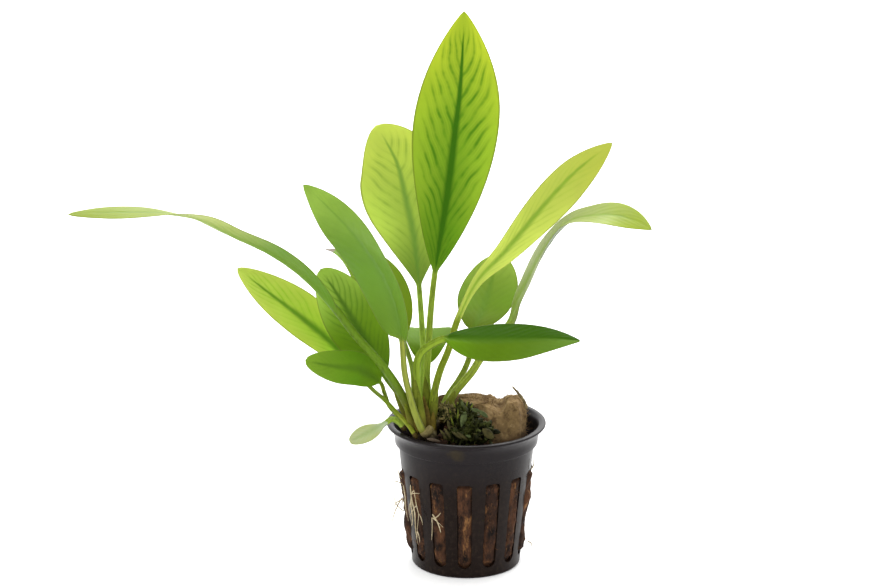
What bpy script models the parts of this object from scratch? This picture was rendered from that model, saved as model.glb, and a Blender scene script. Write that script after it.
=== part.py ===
"""Potted anubias: a young plant in a 5 cm net pot, its leaves grown from one creeping stem.

Metres, +Z up. X runs to the right of the plant's front view and Y away from it. The origin is
the centre of the pot's underside. Lengths below are in millimetres unless a name says otherwise.
"""

import math

import bmesh
import bpy
import numpy as np
from mathutils import Matrix, Vector, noise

MM = 0.001

# Net pot: base, slotted wall, plain band, wider collar and flared lip
POT_HEIGHT = 50.0
RIM_RADIUS = 27.0
RIM_INNER_RADIUS = 25.0
COLLAR_RADIUS = 24.3
COLLAR_TOP = 46.4
COLLAR_BOTTOM = 42.9
WALL_TOP_RADIUS = 23.1
BAND_RADIUS = 22.2
BASE_RADIUS = 18.4
WALL = 1.1
FLOOR = 1.6
POT_SEGMENTS = 56
SLOT_COUNT = 14
SLOT_PHASE = -2.0
SLOT_BOTTOM = 3.6
SLOT_TOP = 34.5
SLOT_WIDTH_TOP = 5.2
SLOT_WIDTH_BOTTOM = 4.6

# Rock wool that fills the pot, and the block of it that stands above the rim
GAP = 0.35
WOOL_LEVEL = 45.6
WOOL_LOW_SIDE = 3.5
BULGE_WIDEST = 1.7
BULGE_LEAST = 0.1
BLOCK_OUTLINE = [(-10.2, 9), (-4.8, 7.5), (-1, 2.5), (3, -4), (6.8, -12.2), (12.1, -13), (17.8, -11.8),
                 (20.3, -4), (19.8, 3), (17, 10.5), (8.7, 15.5), (-5, 15)]
BLOCK_TOP = 56.8
BLOCK_BOTTOM = 44.4
BLOCK_LEAN = 6.5
BLOCK_CREST = 2.2
NOTCH_AT = 11.3
NOTCH_DEPTH = 1.6

# Creeping stem: centre, half lengths and turn of each swelling
RHIZOME_LUMPS = [((-13.2, -7.6, 48.7), (7.6, 6.2, 2.1), 60), ((-10.7, -15.9, 49.4), (3.0, 3.4, 2.4), 10),
                 ((-9.4, -1.8, 48.6), (3.2, 3.0, 1.9), 50)]

# Moss beside it
MOSS_LUMPS = [((-1.5, -14.5, 49.0), (4.9, 4.6, 2.7), 0), ((-0.6, -10.6, 51.9), (5.4, 4.2, 5.6), 20),
              ((4.2, -15.9, 50.6), (5.0, 2.7, 4.6), 0), ((-1.6, -7.4, 54.2), (3.8, 3.0, 4.2), 0),
              ((-6.6, -9.0, 55.4), (2.8, 2.4, 2.8), 0)]

# Dry stalk on the wool and roots outside the slots
DEAD_STALK = [(20, -6, 57.4), (19, -5.5, 59.3), (17, -5, 62), (15, -4.5, 64)]
DEAD_STALK_RADIUS = 0.5
ROOT_CLEARANCE = 1.3
ROOT_RADIUS = 0.4
# A root runs outside the wall through (angle in degrees from the front, height); the lists after
# the first are branches that start inside it
ROOTS = {
    "root_long": [[(-54, 32), (-54.5, 27), (-52, 22), (-53, 16), (-52, 10)],
                  [(-54.3, 27.5), (-56.5, 24), (-56, 20), (-59.5, 16)]],
    "root_crossing": [[(-31, 23.5), (-29, 22.4), (-26, 20.5), (-23.5, 17)]],
    "root_side": [[(-68, 30), (-66.5, 26), (-68, 21.5), (-65, 17)]],
}

BLADE_THICKNESS = 0.8
STALK_STATIONS = 7
BLADE_STATIONS = 12

# A leaf's route runs from its foot up the stalk and along the midrib to the tip; the blade starts
# at the point blade_from. Facing lists, along the blade, the way its upper side looks. Fold is
# how far each half is raised from flat, in degrees, at the base and at the tip. Stalk is the
# stalk's radius at the blade and at the foot.
LEAVES = {
    "leaf_tall": dict(
        route=[(-12.8, -8.2, 51.5), (-13.2, -7.8, 57), (-13.5, -7, 65.5), (-13, -6, 74.5), (-12, -3, 89.5),
               (-10.5, 1, 102.5), (-6.4, 6, 126.5), (-3.3, 9, 147.5), (-2.2, 9, 163.5), (-1, 5, 189.8)],
        blade_from=5, width=28.8, widest=0.55, base_form=0.66, tip_form=0.85,
        facing=[(0, (0.05, -1, 0.15)), (1, (0, -1, 0.3))], fold=(10, 6), stalk=(1.3, 1.4)),
    "leaf_back_left": dict(
        route=[(-14.9, -4.4, 51.5), (-15, -3.5, 56), (-14.8, -1.5, 63), (-14.5, 2.5, 72.5), (-16, 12, 94),
               (-18, 19.5, 110.5), (-20.5, 24.5, 121), (-23.2, 29, 131.5), (-26.4, 31, 138), (-30.8, 34, 144.6)],
        blade_from=4, width=30, widest=0.61, base_form=0.78, tip_form=0.48,
        facing=[(0, (0.15, -1, 0.2)), (1, (0.1, -1, 0.5))], fold=(8, 5), stalk=(1.2, 1.3)),
    "leaf_front_dark": dict(
        route=[(-13.8, -17.6, 51.4), (-15.4, -17.8, 54), (-18, -17.8, 61.5), (-20.5, -18.5, 72.5),
               (-21.5, -19.5, 85), (-23.5, -21.5, 97.5), (-26.8, -24, 109), (-34.5, -28, 121),
               (-43, -32, 131.5), (-52.6, -35, 141.5)],
        blade_from=4, width=22, widest=0.42, base_form=0.42, tip_form=0.78,
        facing=[(0, (-0.7, -0.7, 0)), (0.5, (-0.7, -0.7, -0.1)), (1, (-0.3, -1, 0.2))],
        fold=(24, 10), stalk=(1.2, 1.4)),
    "leaf_behind_dark": dict(
        route=[(-17.8, -3.2, 51.4), (-17.8, -3, 56), (-17.8, -2.5, 63.5), (-18.5, -1, 70), (-21.5, 3, 78.5),
               (-25.6, 7, 90), (-32.4, 11, 101), (-40, 14, 105), (-48, 17, 105.5)],
        blade_from=4, width=17.2, widest=0.42, base_form=0.8, tip_form=1.3,
        facing=[(0, (0.3, -1, 0.3)), (0.6, (0.2, -1, 0.8)), (1, (0.1, -0.3, 1))], fold=(10, 8),
        stalk=(0.85, 0.95)),
    "leaf_wide_left": dict(
        route=[(-18.6, -6.7, 51.4), (-20, -6.4, 56.5), (-22.8, -6, 61.5), (-27.5, -5.5, 68), (-34.5, -5.5, 81),
               (-41.5, -6.5, 94), (-48.5, -7.5, 105.6)],
        blade_from=3, width=19.2, widest=0.52, base_form=0.6, tip_form=0.56,
        facing=[(0, (0.1, -1, 0.4)), (1, (0, -1, 0.5))], fold=(10, 6), stalk=(1.0, 1.15)),
    "leaf_long_arch": dict(
        route=[(-16.8, -10.8, 51.8), (-17.8, -12, 54.6), (-20, -14, 60.5), (-24, -16.5, 69), (-29, -19, 77),
               (-37, -23, 88), (-43.5, -26, 98), (-53, -34, 111), (-63, -41, 120.5), (-75, -48, 128.5),
               (-84, -54, 135), (-94.5, -59, 138.3), (-109.5, -63, 139.6), (-124, -66, 139.8)],
        blade_from=6, width=13.6, widest=0.5, base_form=0.5, tip_form=0.42,
        facing=[(0, (0.5, 0.5, 0.4)), (0.32, (0.42, 0.66, 0.7)), (0.46, (0.35, 0.5, 0.8)),
                (0.64, (0, 0.34, 1)), (0.72, (0, 0.16, 1)), (0.82, (0, -0.4, 1)), (1, (-0.1, -0.5, 1))],
        fold=(24, -4), stalk=(1.5, 1.7)),
    "leaf_left_lit": dict(
        route=[(-17.5, -17.1, 51.2), (-20, -15.8, 54.5), (-23.2, -13.5, 57.3), (-27.5, -10.5, 61),
               (-32.8, -3, 63.4), (-45, 2, 76.4), (-56, 5, 85.2), (-67, 8, 93), (-77.3, 11, 100.6)],
        blade_from=4, width=17.2, widest=0.52, base_form=0.8, tip_form=0.66,
        facing=[(0, (0.45, -0.8, 0.6)), (1, (0.35, -0.85, 0.6))], fold=(20, 14), stalk=(0.85, 1.3)),
    "leaf_low_left": dict(
        route=[(-21, -6.5, 51.4), (-23.5, -6, 54.4), (-26, -5.5, 57.2), (-27.5, -6.7, 62), (-29, -11, 67.4),
               (-35.5, -18, 74), (-43.5, -21, 76), (-54.6, -23.4, 78.8)],
        blade_from=4, width=11.6, widest=0.5, base_form=0.55, tip_form=0.5,
        facing=[(0, (0, -1, 0.5)), (1, (0, -1, 0.5))], fold=(6, 4), stalk=(0.75, 0.85)),
    "leaf_small_pale": dict(
        route=[(-21.4, -10, 51.6), (-23, -10.6, 53.4), (-25, -12, 54.6), (-27, -14.5, 54.2), (-31, -17.5, 52.6),
               (-39, -20, 49.4)],
        blade_from=3, width=7.2, widest=0.6, base_form=0.9, tip_form=0.45,
        facing=[(0, (0, -0.6, 1)), (1, (0, -0.6, 1))], fold=(8, 4), stalk=(0.95, 1.1)),
    "leaf_slender_right": dict(
        route=[(-11.4, -11.3, 51.4), (-11.5, -11, 54), (-11, -10, 62), (-9, -8, 70), (-6, -5.5, 77),
               (-2.9, -3, 87), (3.6, -1, 99.7), (12.9, 1, 109.4), (23, 4, 121.2), (30.7, 6, 129.8),
               (37.5, 8, 136.2), (48.5, 9, 144.5)],
        blade_from=5, width=15.4, widest=0.73, base_form=0.58, tip_form=0.64,
        facing=[(0, (0.1, -1, 0.1)), (0.5, (0.3, -1, 0)), (1, (0.4, -1, 0))], fold=(20, 24), stalk=(1.2, 1.4)),
    "leaf_arch_right": dict(
        route=[(-7.4, -4, 51.7), (-6.7, -2.5, 54), (-4.5, 1.5, 58.5), (-1, 3.5, 62.5), (2, 4.5, 66),
               (5.5, 5, 71.5), (14, 4, 83), (16, 2, 91.5), (19.5, 0, 98), (26, -4, 112),
               (33, -7, 121.3), (41.5, -10, 124.5), (51, -12, 124.6), (60.5, -15, 121)],
        blade_from=6, width=12.4, widest=0.78, base_form=0.5, tip_form=0.6,
        facing=[(0, (-0.7, -0.4, 0.3)), (0.4, (-0.7, -0.3, 0.5)), (0.56, (-0.45, -0.1, 0.8)),
                (0.63, (-0.3, 0, 0.95)), (0.74, (0, -0.6, 0.85)), (1, (0.2, -0.8, 0.8))],
        fold=(24, 3), stalk=(1.15, 1.3)),
    "leaf_round_back": dict(
        route=[(-9.2, -0.9, 51.6), (-8.5, 0.5, 53.5), (-6, 5, 57.5), (-2.5, 10, 61.3), (0, 13.5, 65),
               (1.5, 15.5, 69.2), (2.7, 18, 76.5), (6, 28, 80.9), (9, 43, 86.3), (11.4, 54, 93)],
        blade_from=6, width=20.6, widest=0.5, base_form=0.5, tip_form=0.45,
        facing=[(0, (-0.1, -0.6, 0.8)), (1, (-0.1, -0.3, 1))], fold=(4, 3), stalk=(0.95, 1.1)),
    "leaf_level_right": dict(
        route=[(-14, -13.6, 51.4), (-14.5, -13.9, 56), (-15.3, -15, 65), (-15, -15.5, 73), (-14, -16, 78),
               (-11.5, -17, 81.5), (-7, -18, 84.6), (4, -21, 85), (15.5, -24, 86), (26.5, -26, 87),
               (37, -28, 87)],
        blade_from=6, width=18.4, widest=0.42, base_form=0.75, tip_form=0.85,
        facing=[(0, (0, -0.45, 0.9)), (1, (0, -0.45, 0.9))], fold=(-8, -4), stalk=(1.1, 1.2)),
    "leaf_centre_back": dict(
        route=[(-12.2, -2.2, 51.6), (-12.5, -0.5, 55), (-13, 5, 61), (-13.5, 10, 67), (-13.5, 17, 72),
               (-13, 29, 73), (-13, 39, 70), (-13.5, 47, 63)],
        blade_from=3, width=16.6, widest=0.45, base_form=0.6, tip_form=0.8,
        facing=[(0, (0, -0.7, 0.7)), (0.5, (0, 0.1, 1)), (1, (0, 0.6, 0.8))], fold=(6, 4), stalk=(0.95, 1.05)),
}

# Colour (linear), roughness and metallic value of each finish
FINISHES = {
    "black_plastic": ((0.022, 0.021, 0.021), 0.45),
    "wool": ((0.24, 0.15, 0.07), 0.95),
    "stem": ((0.30, 0.25, 0.10), 0.7),
    "moss": ((0.03, 0.07, 0.015), 0.9),
    "dry": ((0.22, 0.15, 0.07), 0.9),
    "root": ((0.55, 0.45, 0.24), 0.7),
    "dark_leaf": ((0.07, 0.22, 0.015), 0.38),
    "lit_leaf": ((0.25, 0.48, 0.02), 0.42),
    "pale_leaf": ((0.38, 0.52, 0.20), 0.5),
}
LEAF_FINISH = {
    "leaf_tall": "lit_leaf", "leaf_back_left": "lit_leaf", "leaf_left_lit": "lit_leaf",
    "leaf_slender_right": "lit_leaf", "leaf_arch_right": "pale_leaf", "leaf_long_arch": "pale_leaf",
    "leaf_small_pale": "pale_leaf",
}


def clear_scene():
    for item in list(bpy.data.objects):
        bpy.data.objects.remove(item, do_unlink=True)


def finish(name):
    """One Principled material for a sub-part's finish."""
    colour, roughness = FINISHES[name]
    material = bpy.data.materials.new(name)
    material.use_nodes = True
    shader = material.node_tree.nodes["Principled BSDF"]
    shader.inputs["Base Color"].default_value = (*colour, 1)
    shader.inputs["Roughness"].default_value = roughness
    shader.inputs["Metallic"].default_value = 0.0
    return material


def add_object(name, bm, material):
    """Put the bmesh, in millimetres, into a named object with outward faces."""
    bmesh.ops.recalc_face_normals(bm, faces=bm.faces)
    bmesh.ops.scale(bm, vec=(MM, MM, MM), verts=bm.verts)
    mesh = bpy.data.meshes.new(name)
    bm.to_mesh(mesh)
    bm.free()
    mesh.shade_smooth()
    mesh.set_sharp_from_angle(angle=math.radians(40))
    mesh.materials.append(finish(material))
    part = bpy.data.objects.new(name, mesh)
    bpy.context.scene.collection.objects.link(part)
    return part


def as_cutter(part):
    part.hide_render = True
    part.display_type = "WIRE"
    return part


def boolean(part, other, operation):
    modifier = part.modifiers.new(operation.lower() + "_" + other.name, "BOOLEAN")
    modifier.operation = operation
    modifier.object = other
    modifier.solver = "EXACT"


def turned(profile, segments):
    """Spin a (radius, height) profile that starts and ends on the axis into one closed body."""
    bm = bmesh.new()
    points = [bm.verts.new((radius, 0, height)) for radius, height in profile]
    edges = [bm.edges.new(pair) for pair in zip(points, points[1:])]
    bmesh.ops.spin(bm, geom=points + edges, axis=(0, 0, 1), cent=(0, 0, 0),
                   angle=math.tau, steps=segments, use_merge=True)
    bmesh.ops.remove_doubles(bm, verts=bm.verts, dist=0.01)
    return bm


def outer_radius(height):
    """Outside of the pot's wall and plain band at a height."""
    return float(np.interp(height, [0, SLOT_TOP, COLLAR_BOTTOM], [BASE_RADIUS, BAND_RADIUS, WALL_TOP_RADIUS]))


def pot_profile():
    """Underside, wall, collar and flared lip, then back down the inside."""
    step = COLLAR_BOTTOM - 0.7
    outside = [(0, 0), (BASE_RADIUS - 0.7, 0), (BASE_RADIUS, 0.7), (outer_radius(SLOT_BOTTOM), SLOT_BOTTOM),
               (BAND_RADIUS, SLOT_TOP), (outer_radius(step), step), (COLLAR_RADIUS, COLLAR_BOTTOM),
               (COLLAR_RADIUS + 0.4, COLLAR_TOP), (RIM_RADIUS - 0.6, POT_HEIGHT - 1.3),
               (RIM_RADIUS, POT_HEIGHT - 0.6)]
    inside = [(RIM_RADIUS - 0.4, POT_HEIGHT), (RIM_INNER_RADIUS, POT_HEIGHT - 0.2),
              (COLLAR_RADIUS + 0.4 - WALL, COLLAR_TOP + 0.6), (COLLAR_RADIUS - WALL, COLLAR_BOTTOM + 1.3),
              (outer_radius(step) - WALL, step), (BAND_RADIUS - WALL, SLOT_TOP),
              (outer_radius(FLOOR) - WALL, FLOOR), (0, FLOOR)]
    return outside + inside


def slot_cutter():
    """One tapering bar for each slot, pointed at the foot, all in one mesh."""
    near, far = BASE_RADIUS - 6, WALL_TOP_RADIUS + 6
    outline = [(0, SLOT_BOTTOM), (SLOT_WIDTH_BOTTOM / 2, SLOT_BOTTOM + 2.4),
               (SLOT_WIDTH_TOP / 2, SLOT_TOP - 1.0), (SLOT_WIDTH_TOP / 2 - 0.9, SLOT_TOP),
               (0.9 - SLOT_WIDTH_TOP / 2, SLOT_TOP), (-SLOT_WIDTH_TOP / 2, SLOT_TOP - 1.0),
               (-SLOT_WIDTH_BOTTOM / 2, SLOT_BOTTOM + 2.4)]
    bm = bmesh.new()
    for index in range(SLOT_COUNT):
        turn = Matrix.Rotation(math.tau * index / SLOT_COUNT + math.radians(SLOT_PHASE), 3, "Z")
        rings = [[bm.verts.new(turn @ Vector((across, -reach, height))) for across, height in outline]
                 for reach in (near, far)]
        bm.faces.new(rings[0])
        bm.faces.new(rings[1])
        for a in range(len(outline)):
            b = (a + 1) % len(outline)
            bm.faces.new((rings[0][a], rings[0][b], rings[1][b], rings[1][a]))
    return bm


def make_pot():
    pot = add_object("net_pot", turned(pot_profile(), POT_SEGMENTS), "black_plastic")
    cutter = as_cutter(add_object("slot_cutter", slot_cutter(), "black_plastic"))
    boolean(pot, cutter, "DIFFERENCE")
    return pot


def ease(low, high, value):
    """0 below low, 1 above high, smooth between."""
    step = min(max((value - low) / (high - low), 0.0), 1.0)
    return step * step * (3 - 2 * step)


def lumpy(point, size, scale):
    """Seeded unevenness at a point, between about -size and size."""
    return size * noise.noise(Vector(point) * scale)


def plug_mesh():
    """The wool inside the pot: a taper with an uneven top, pressed a little way out of the slots."""
    low, top = FLOOR + GAP, COLLAR_BOTTOM - 1.6
    inside = WALL + GAP
    profile = [(0, low), (outer_radius(low) - inside - 0.6, low)]
    profile += [(outer_radius(height) - inside, height)
                for height in (low + 0.8, SLOT_BOTTOM + 2.4, 11, 19, 27, SLOT_TOP, top)]
    profile += [(outer_radius(top) - inside - 1.0, top + 1.2)]
    profile += [(radius, WOOL_LEVEL) for radius in (17.0, 9.0, 0)]
    bm = turned(profile, 4 * SLOT_COUNT)
    bmesh.ops.rotate(bm, verts=bm.verts, matrix=Matrix.Rotation(math.radians(SLOT_PHASE), 3, "Z"))
    for vert in bm.verts:
        if vert.co.z > top + 1.0:
            falls = WOOL_LOW_SIDE * ease(13, 20, vert.co.x) * ease(0, 3, 20 - vert.co.xy.length)
            vert.co.z += lumpy(vert.co, 0.6, 0.23) * ease(0, 3, 21 - vert.co.xy.length) - falls
        elif SLOT_BOTTOM + 3 < vert.co.z < SLOT_TOP - 3:
            turn = math.atan2(vert.co.x, -vert.co.y)
            in_slot = max(0, math.cos((turn - math.radians(SLOT_PHASE)) * SLOT_COUNT)) ** 4
            bulge = BULGE_LEAST + (BULGE_WIDEST - BULGE_LEAST) * abs(math.sin(turn)) ** 10
            reach = in_slot * (WALL + GAP + bulge + lumpy(vert.co, 0.3, 0.4))
            vert.co.xy *= 1 + reach / vert.co.xy.length
    return bm


def outline_prism(outline, bottom, top, grow=0.0):
    """A prism on a plan outline, grown outwards by an amount about its middle."""
    middle = Vector([sum(axis) / len(outline) for axis in zip(*outline)])
    bm = bmesh.new()
    corners = []
    for corner in outline:
        offset = Vector(corner) - middle
        place = middle + offset * (1 + grow / offset.length)
        corners.append(bm.verts.new((place.x, place.y, bottom)))
    floor = bm.faces.new(corners)
    extruded = bmesh.ops.extrude_face_region(bm, geom=[floor])["geom"]
    raised = [item for item in extruded if isinstance(item, bmesh.types.BMVert)]
    bmesh.ops.translate(bm, vec=(0, 0, top - bottom), verts=raised)
    return bm


def block_mesh():
    """The block that stands above the rim, with torn sides and a notch in its top."""
    bm = outline_prism(BLOCK_OUTLINE, BLOCK_BOTTOM, BLOCK_TOP)
    cap = max(bm.faces, key=lambda face: face.calc_center_median().z)
    bmesh.ops.inset_individual(bm, faces=[cap], thickness=2.2)
    bmesh.ops.poke(bm, faces=[cap])
    bmesh.ops.triangulate(bm, faces=[face for face in bm.faces if len(face.verts) > 4])
    bmesh.ops.subdivide_edges(bm, edges=bm.edges, cuts=1, use_grid_fill=True)
    for vert in bm.verts:
        x, y, z = vert.co
        notch = NOTCH_DEPTH * math.exp(-((x - NOTCH_AT) / 2.2) ** 2)
        crest = BLOCK_CREST * ease(12, 14, x) * ease(-9, -1, -y)
        shoulder = 4.5 * ease(17, 20.8, x) + 2.6 * ease(8, 15, y)
        height = ease(WOOL_LEVEL, BLOCK_TOP, z)
        vert.co.z += (crest - notch - shoulder + lumpy((x, y, 0), 1.2, 0.16)) * height
        vert.co.x += lumpy((x, y, z), 0.8, 0.21) * height
        vert.co.y += lumpy((y, z, x), 0.8, 0.21) * height + BLOCK_LEAN * height * ease(0, 10, -y)
    return bm


def make_wool():
    plug = add_object("wool_plug", plug_mesh(), "wool")
    block = as_cutter(add_object("wool_block", block_mesh(), "wool"))
    boolean(plug, block, "UNION")
    return plug


def lump_mesh(centre, radii, turn, roughness, rings=8, sides=14):
    """A flattened, uneven ball, flatter on top than an ellipsoid."""
    bm = bmesh.new()
    bmesh.ops.create_uvsphere(bm, u_segments=sides, v_segments=rings, radius=1.0)
    spin = Matrix.Rotation(math.radians(turn), 3, "Z")
    for vert in bm.verts:
        flat = vert.co.xy.length
        vert.co.z = math.copysign(abs(vert.co.z) ** 0.7, vert.co.z)
        place = spin @ Vector((vert.co.x * radii[0], vert.co.y * radii[1], vert.co.z * radii[2]))
        swell = lumpy(place + Vector(centre), roughness, 0.45) * (0.4 + 0.6 * flat)
        vert.co = Vector(centre) + place + place.normalized() * swell
    return bm


def make_lumps(name, lumps, roughness, material, **detail):
    """Fuse a few swellings into one solid."""
    body = add_object(name, lump_mesh(*lumps[0], roughness, **detail), material)
    for index, lump in enumerate(lumps[1:], 1):
        more = add_object(name + "_swelling_" + str(index), lump_mesh(*lump, roughness, **detail), material)
        boolean(body, as_cutter(more), "UNION")
    return body


def make_moss():
    """Moss, cut back where the wool block stands."""
    moss = make_lumps("moss_clump", MOSS_LUMPS, 1.1, "moss", rings=7, sides=10)
    room = as_cutter(add_object("block_room", outline_prism(BLOCK_OUTLINE, 30, 75, 1.0), "moss"))
    boolean(moss, room, "DIFFERENCE")
    return moss


def smooth_route(route, shares):
    """Points on a smooth cubic through the route; share 0 is its start and each whole number a route point."""
    points = np.array(route, float)
    chords = np.linalg.norm(np.diff(points, axis=0), axis=1) ** 0.7
    times = np.concatenate([[0.0], np.cumsum(chords)])
    slopes = np.empty_like(points)
    slopes[1:-1] = (points[2:] - points[:-2]) / (times[2:] - times[:-2])[:, None]
    slopes[0] = 2 * (points[1] - points[0]) / chords[0] - slopes[1]
    slopes[-1] = 2 * (points[-1] - points[-2]) / chords[-1] - slopes[-2]
    span = np.clip(shares.astype(int), 0, len(points) - 2)
    t = (shares - span)[:, None]
    length = chords[span][:, None]
    return ((2 * t**3 - 3 * t**2 + 1) * points[span] + (t**3 - 2 * t**2 + t) * length * slopes[span]
            + (-2 * t**3 + 3 * t**2) * points[span + 1] + (t**3 - t**2) * length * slopes[span + 1])


def even_shares(route, start, stop, count):
    """Shares spaced evenly along the smooth route from one route point to another."""
    fine = np.linspace(start, stop, 400)
    run = np.concatenate([[0.0], np.cumsum(np.linalg.norm(np.diff(smooth_route(route, fine), axis=0), axis=1))])
    return np.interp(np.linspace(0, run[-1], count), run, fine)


def unit(vectors):
    return vectors / np.linalg.norm(vectors, axis=-1, keepdims=True)


def half_width(leaf, along):
    """Half of the blade's width: a sine hump with its top at widest, fuller or finer at each end."""
    skew = math.log(0.5) / math.log(leaf["widest"])
    hump = np.clip(np.sin(math.pi * np.clip(along, 0, 1) ** skew), 0, 1)
    form = leaf["base_form"] + (leaf["tip_form"] - leaf["base_form"]) * along
    return leaf["width"] / 2 * hump ** form


def leaf_mesh(leaf):
    """Loft eight-sided sections from the round foot of the stalk to the tip of the blade."""
    route, joint = leaf["route"], leaf["blade_from"]
    stalk = even_shares(route, 0, joint, STALK_STATIONS)[:-1]
    blade = even_shares(route, joint, len(route) - 1, BLADE_STATIONS)
    centre = smooth_route(route, np.concatenate([stalk, blade]))
    heading = unit(np.gradient(centre, axis=0))
    along = np.concatenate([np.zeros(len(stalk)), np.linspace(0, 1, len(blade))])
    up_stalk = np.concatenate([np.linspace(0, 1, len(stalk), endpoint=False), np.ones(len(blade))])

    places = [place for place, _ in leaf["facing"]]
    ways = np.array([way for _, way in leaf["facing"]], float)
    upper = np.stack([np.interp(along, places, column) for column in unit(ways).T], axis=1)
    upper = unit(upper - (upper * heading).sum(1)[:, None] * heading)
    across = np.cross(heading, upper)

    wide = half_width(leaf, along)
    thick = np.interp(up_stalk, [0, 1], leaf["stalk"][::-1]) * (1 - 0.75 * along)
    round_share = thick**2 / (thick**2 + wide**2)
    reach = np.hypot(thick, wide)
    fold = np.radians(np.interp(along, [0, 1], leaf["fold"])) * (1 - round_share)

    bm = bmesh.new()
    rings = []
    half_sheet = BLADE_THICKNESS / 2
    for station in range(len(centre)):
        share = round_share[station]
        rib = share * thick[station] + (1 - share) * max(half_sheet, 0.8 * thick[station])
        middle = share * 0.707 * thick[station] + (1 - share) * half_sheet
        inset = share * 0.707 + (1 - share) * 0.55
        crown = share * thick[station] + (1 - share) * half_sheet
        section = [(1, 0), (inset, middle), (0, crown), (-inset, middle), (-1, 0), (-inset, -middle), (0, -rib),
                   (inset, -middle)]
        ring = []
        for side, lift in section:
            out = side * reach[station] * math.cos(fold[station])
            rise = lift + abs(side) * reach[station] * math.sin(fold[station])
            ring.append(bm.verts.new(centre[station] + across[station] * out + upper[station] * rise))
        rings.append(ring)
    for low, high in zip(rings, rings[1:]):
        for a in range(8):
            b = (a + 1) % 8
            bm.faces.new((low[a], low[b], high[b], high[a]))
    bm.faces.new(rings[0])
    bm.faces.new(rings[-1])
    return bm


def make_leaves():
    for name, leaf in LEAVES.items():
        add_object(name, leaf_mesh(leaf), LEAF_FINISH.get(name, "dark_leaf"))


def tube_mesh(route, radius, stations, tip_share=0.5, sides=6):
    """A round tube along a route that thins towards its end."""
    centre = smooth_route(route, even_shares(route, 0, len(route) - 1, stations))
    heading = unit(np.gradient(centre, axis=0))
    guide = np.array([0.3, 1.0, 0.1])
    first = unit(np.cross(heading, guide))
    second = np.cross(heading, first)
    bm = bmesh.new()
    rings = []
    for station in range(stations):
        size = radius * (1 - (1 - tip_share) * station / (stations - 1))
        turns = [math.tau * side / sides for side in range(sides)]
        rings.append([bm.verts.new(centre[station] + size * (math.cos(turn) * first[station]
                                                             + math.sin(turn) * second[station]))
                      for turn in turns])
    for low, high in zip(rings, rings[1:]):
        for a in range(sides):
            b = (a + 1) % sides
            bm.faces.new((low[a], low[b], high[b], high[a]))
    bm.faces.new(rings[0])
    bm.faces.new(rings[-1])
    return bm


def beside_wall(angle, height):
    """A point just outside the pot's wall, at an angle from the front."""
    turn = math.radians(angle)
    reach = outer_radius(height) + ROOT_CLEARANCE
    return (reach * math.sin(turn), -reach * math.cos(turn), height)


def make_roots():
    for name, runs in ROOTS.items():
        tubes = []
        for index, marks in enumerate(runs):
            route = [beside_wall(angle, height) for angle, height in marks]
            label = name if index == 0 else name + "_branch_" + str(index)
            tubes.append(add_object(label, tube_mesh(route, ROOT_RADIUS, 8), "root"))
        for branch in tubes[1:]:
            boolean(tubes[0], as_cutter(branch), "UNION")


def main():
    clear_scene()
    make_pot()
    make_wool()
    make_lumps("rhizome", RHIZOME_LUMPS, 0.5, "stem")
    make_moss()
    make_leaves()
    add_object("dead_stalk", tube_mesh(DEAD_STALK, DEAD_STALK_RADIUS, 7), "dry")
    make_roots()


main()
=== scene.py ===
import math

import bmesh
import bpy
import numpy as np
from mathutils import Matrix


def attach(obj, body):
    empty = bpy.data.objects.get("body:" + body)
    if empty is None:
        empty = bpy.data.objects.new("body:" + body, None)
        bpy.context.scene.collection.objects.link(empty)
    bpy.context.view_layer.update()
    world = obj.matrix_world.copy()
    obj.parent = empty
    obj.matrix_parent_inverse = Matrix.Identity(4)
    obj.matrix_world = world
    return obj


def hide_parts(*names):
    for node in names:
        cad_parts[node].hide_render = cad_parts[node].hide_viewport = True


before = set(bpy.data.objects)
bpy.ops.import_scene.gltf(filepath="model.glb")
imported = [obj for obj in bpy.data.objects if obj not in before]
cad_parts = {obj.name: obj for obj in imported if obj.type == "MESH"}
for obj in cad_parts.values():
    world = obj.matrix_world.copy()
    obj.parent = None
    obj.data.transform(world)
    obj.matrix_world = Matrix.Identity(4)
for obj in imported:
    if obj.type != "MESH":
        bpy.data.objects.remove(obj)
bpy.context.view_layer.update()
mm = 0.001  # the plant's lengths are in millimetres, and addPiece turns them into metres
print("frame loaded:", len(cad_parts), "nodes")


# Tools: noise, routes, meshes
def smoothStep(low, high, value):
    # 0 below low, 1 above high, an s-curve between
    share = np.clip((value - low) / (high - low), 0, 1)
    return share * share * (3 - 2 * share)


def unit(vectors):
    return vectors / np.maximum(np.linalg.norm(vectors, axis=-1, keepdims=True), 1e-9)


def smoothed(vectors, reach):
    # directions averaged with their neighbours up to that many places away
    padded = np.pad(vectors, ((reach, reach), (0, 0)), "edge")
    return unit(sum(padded[k:k + len(vectors)] for k in range(2 * reach + 1)))


lattice = np.random.default_rng(11).uniform(-1, 1, (32, 32, 32))


def softNoise(points, grain, shift=0.0):
    # random values on a cubic lattice with that grain, blended between its corners by an s-curve
    place = np.asarray(points, float) / grain + shift
    base = np.floor(place).astype(int)
    part = place - base
    part = part * part * (3 - 2 * part)
    total = np.zeros(place.shape[:-1])
    for corner in np.ndindex(2, 2, 2):
        cell = (base + corner) % 32
        total += np.where(corner, part, 1 - part).prod(-1) * lattice[cell[..., 0], cell[..., 1], cell[..., 2]]
    return total


def roughNoise(points, grain, octaves=3, shift=0.0):
    # soft noise of that grain, plus half as much of half the grain, and so on
    return sum(softNoise(points, grain / 2**k, shift + 7.3 * k) / 2**k for k in range(octaves))


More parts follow.
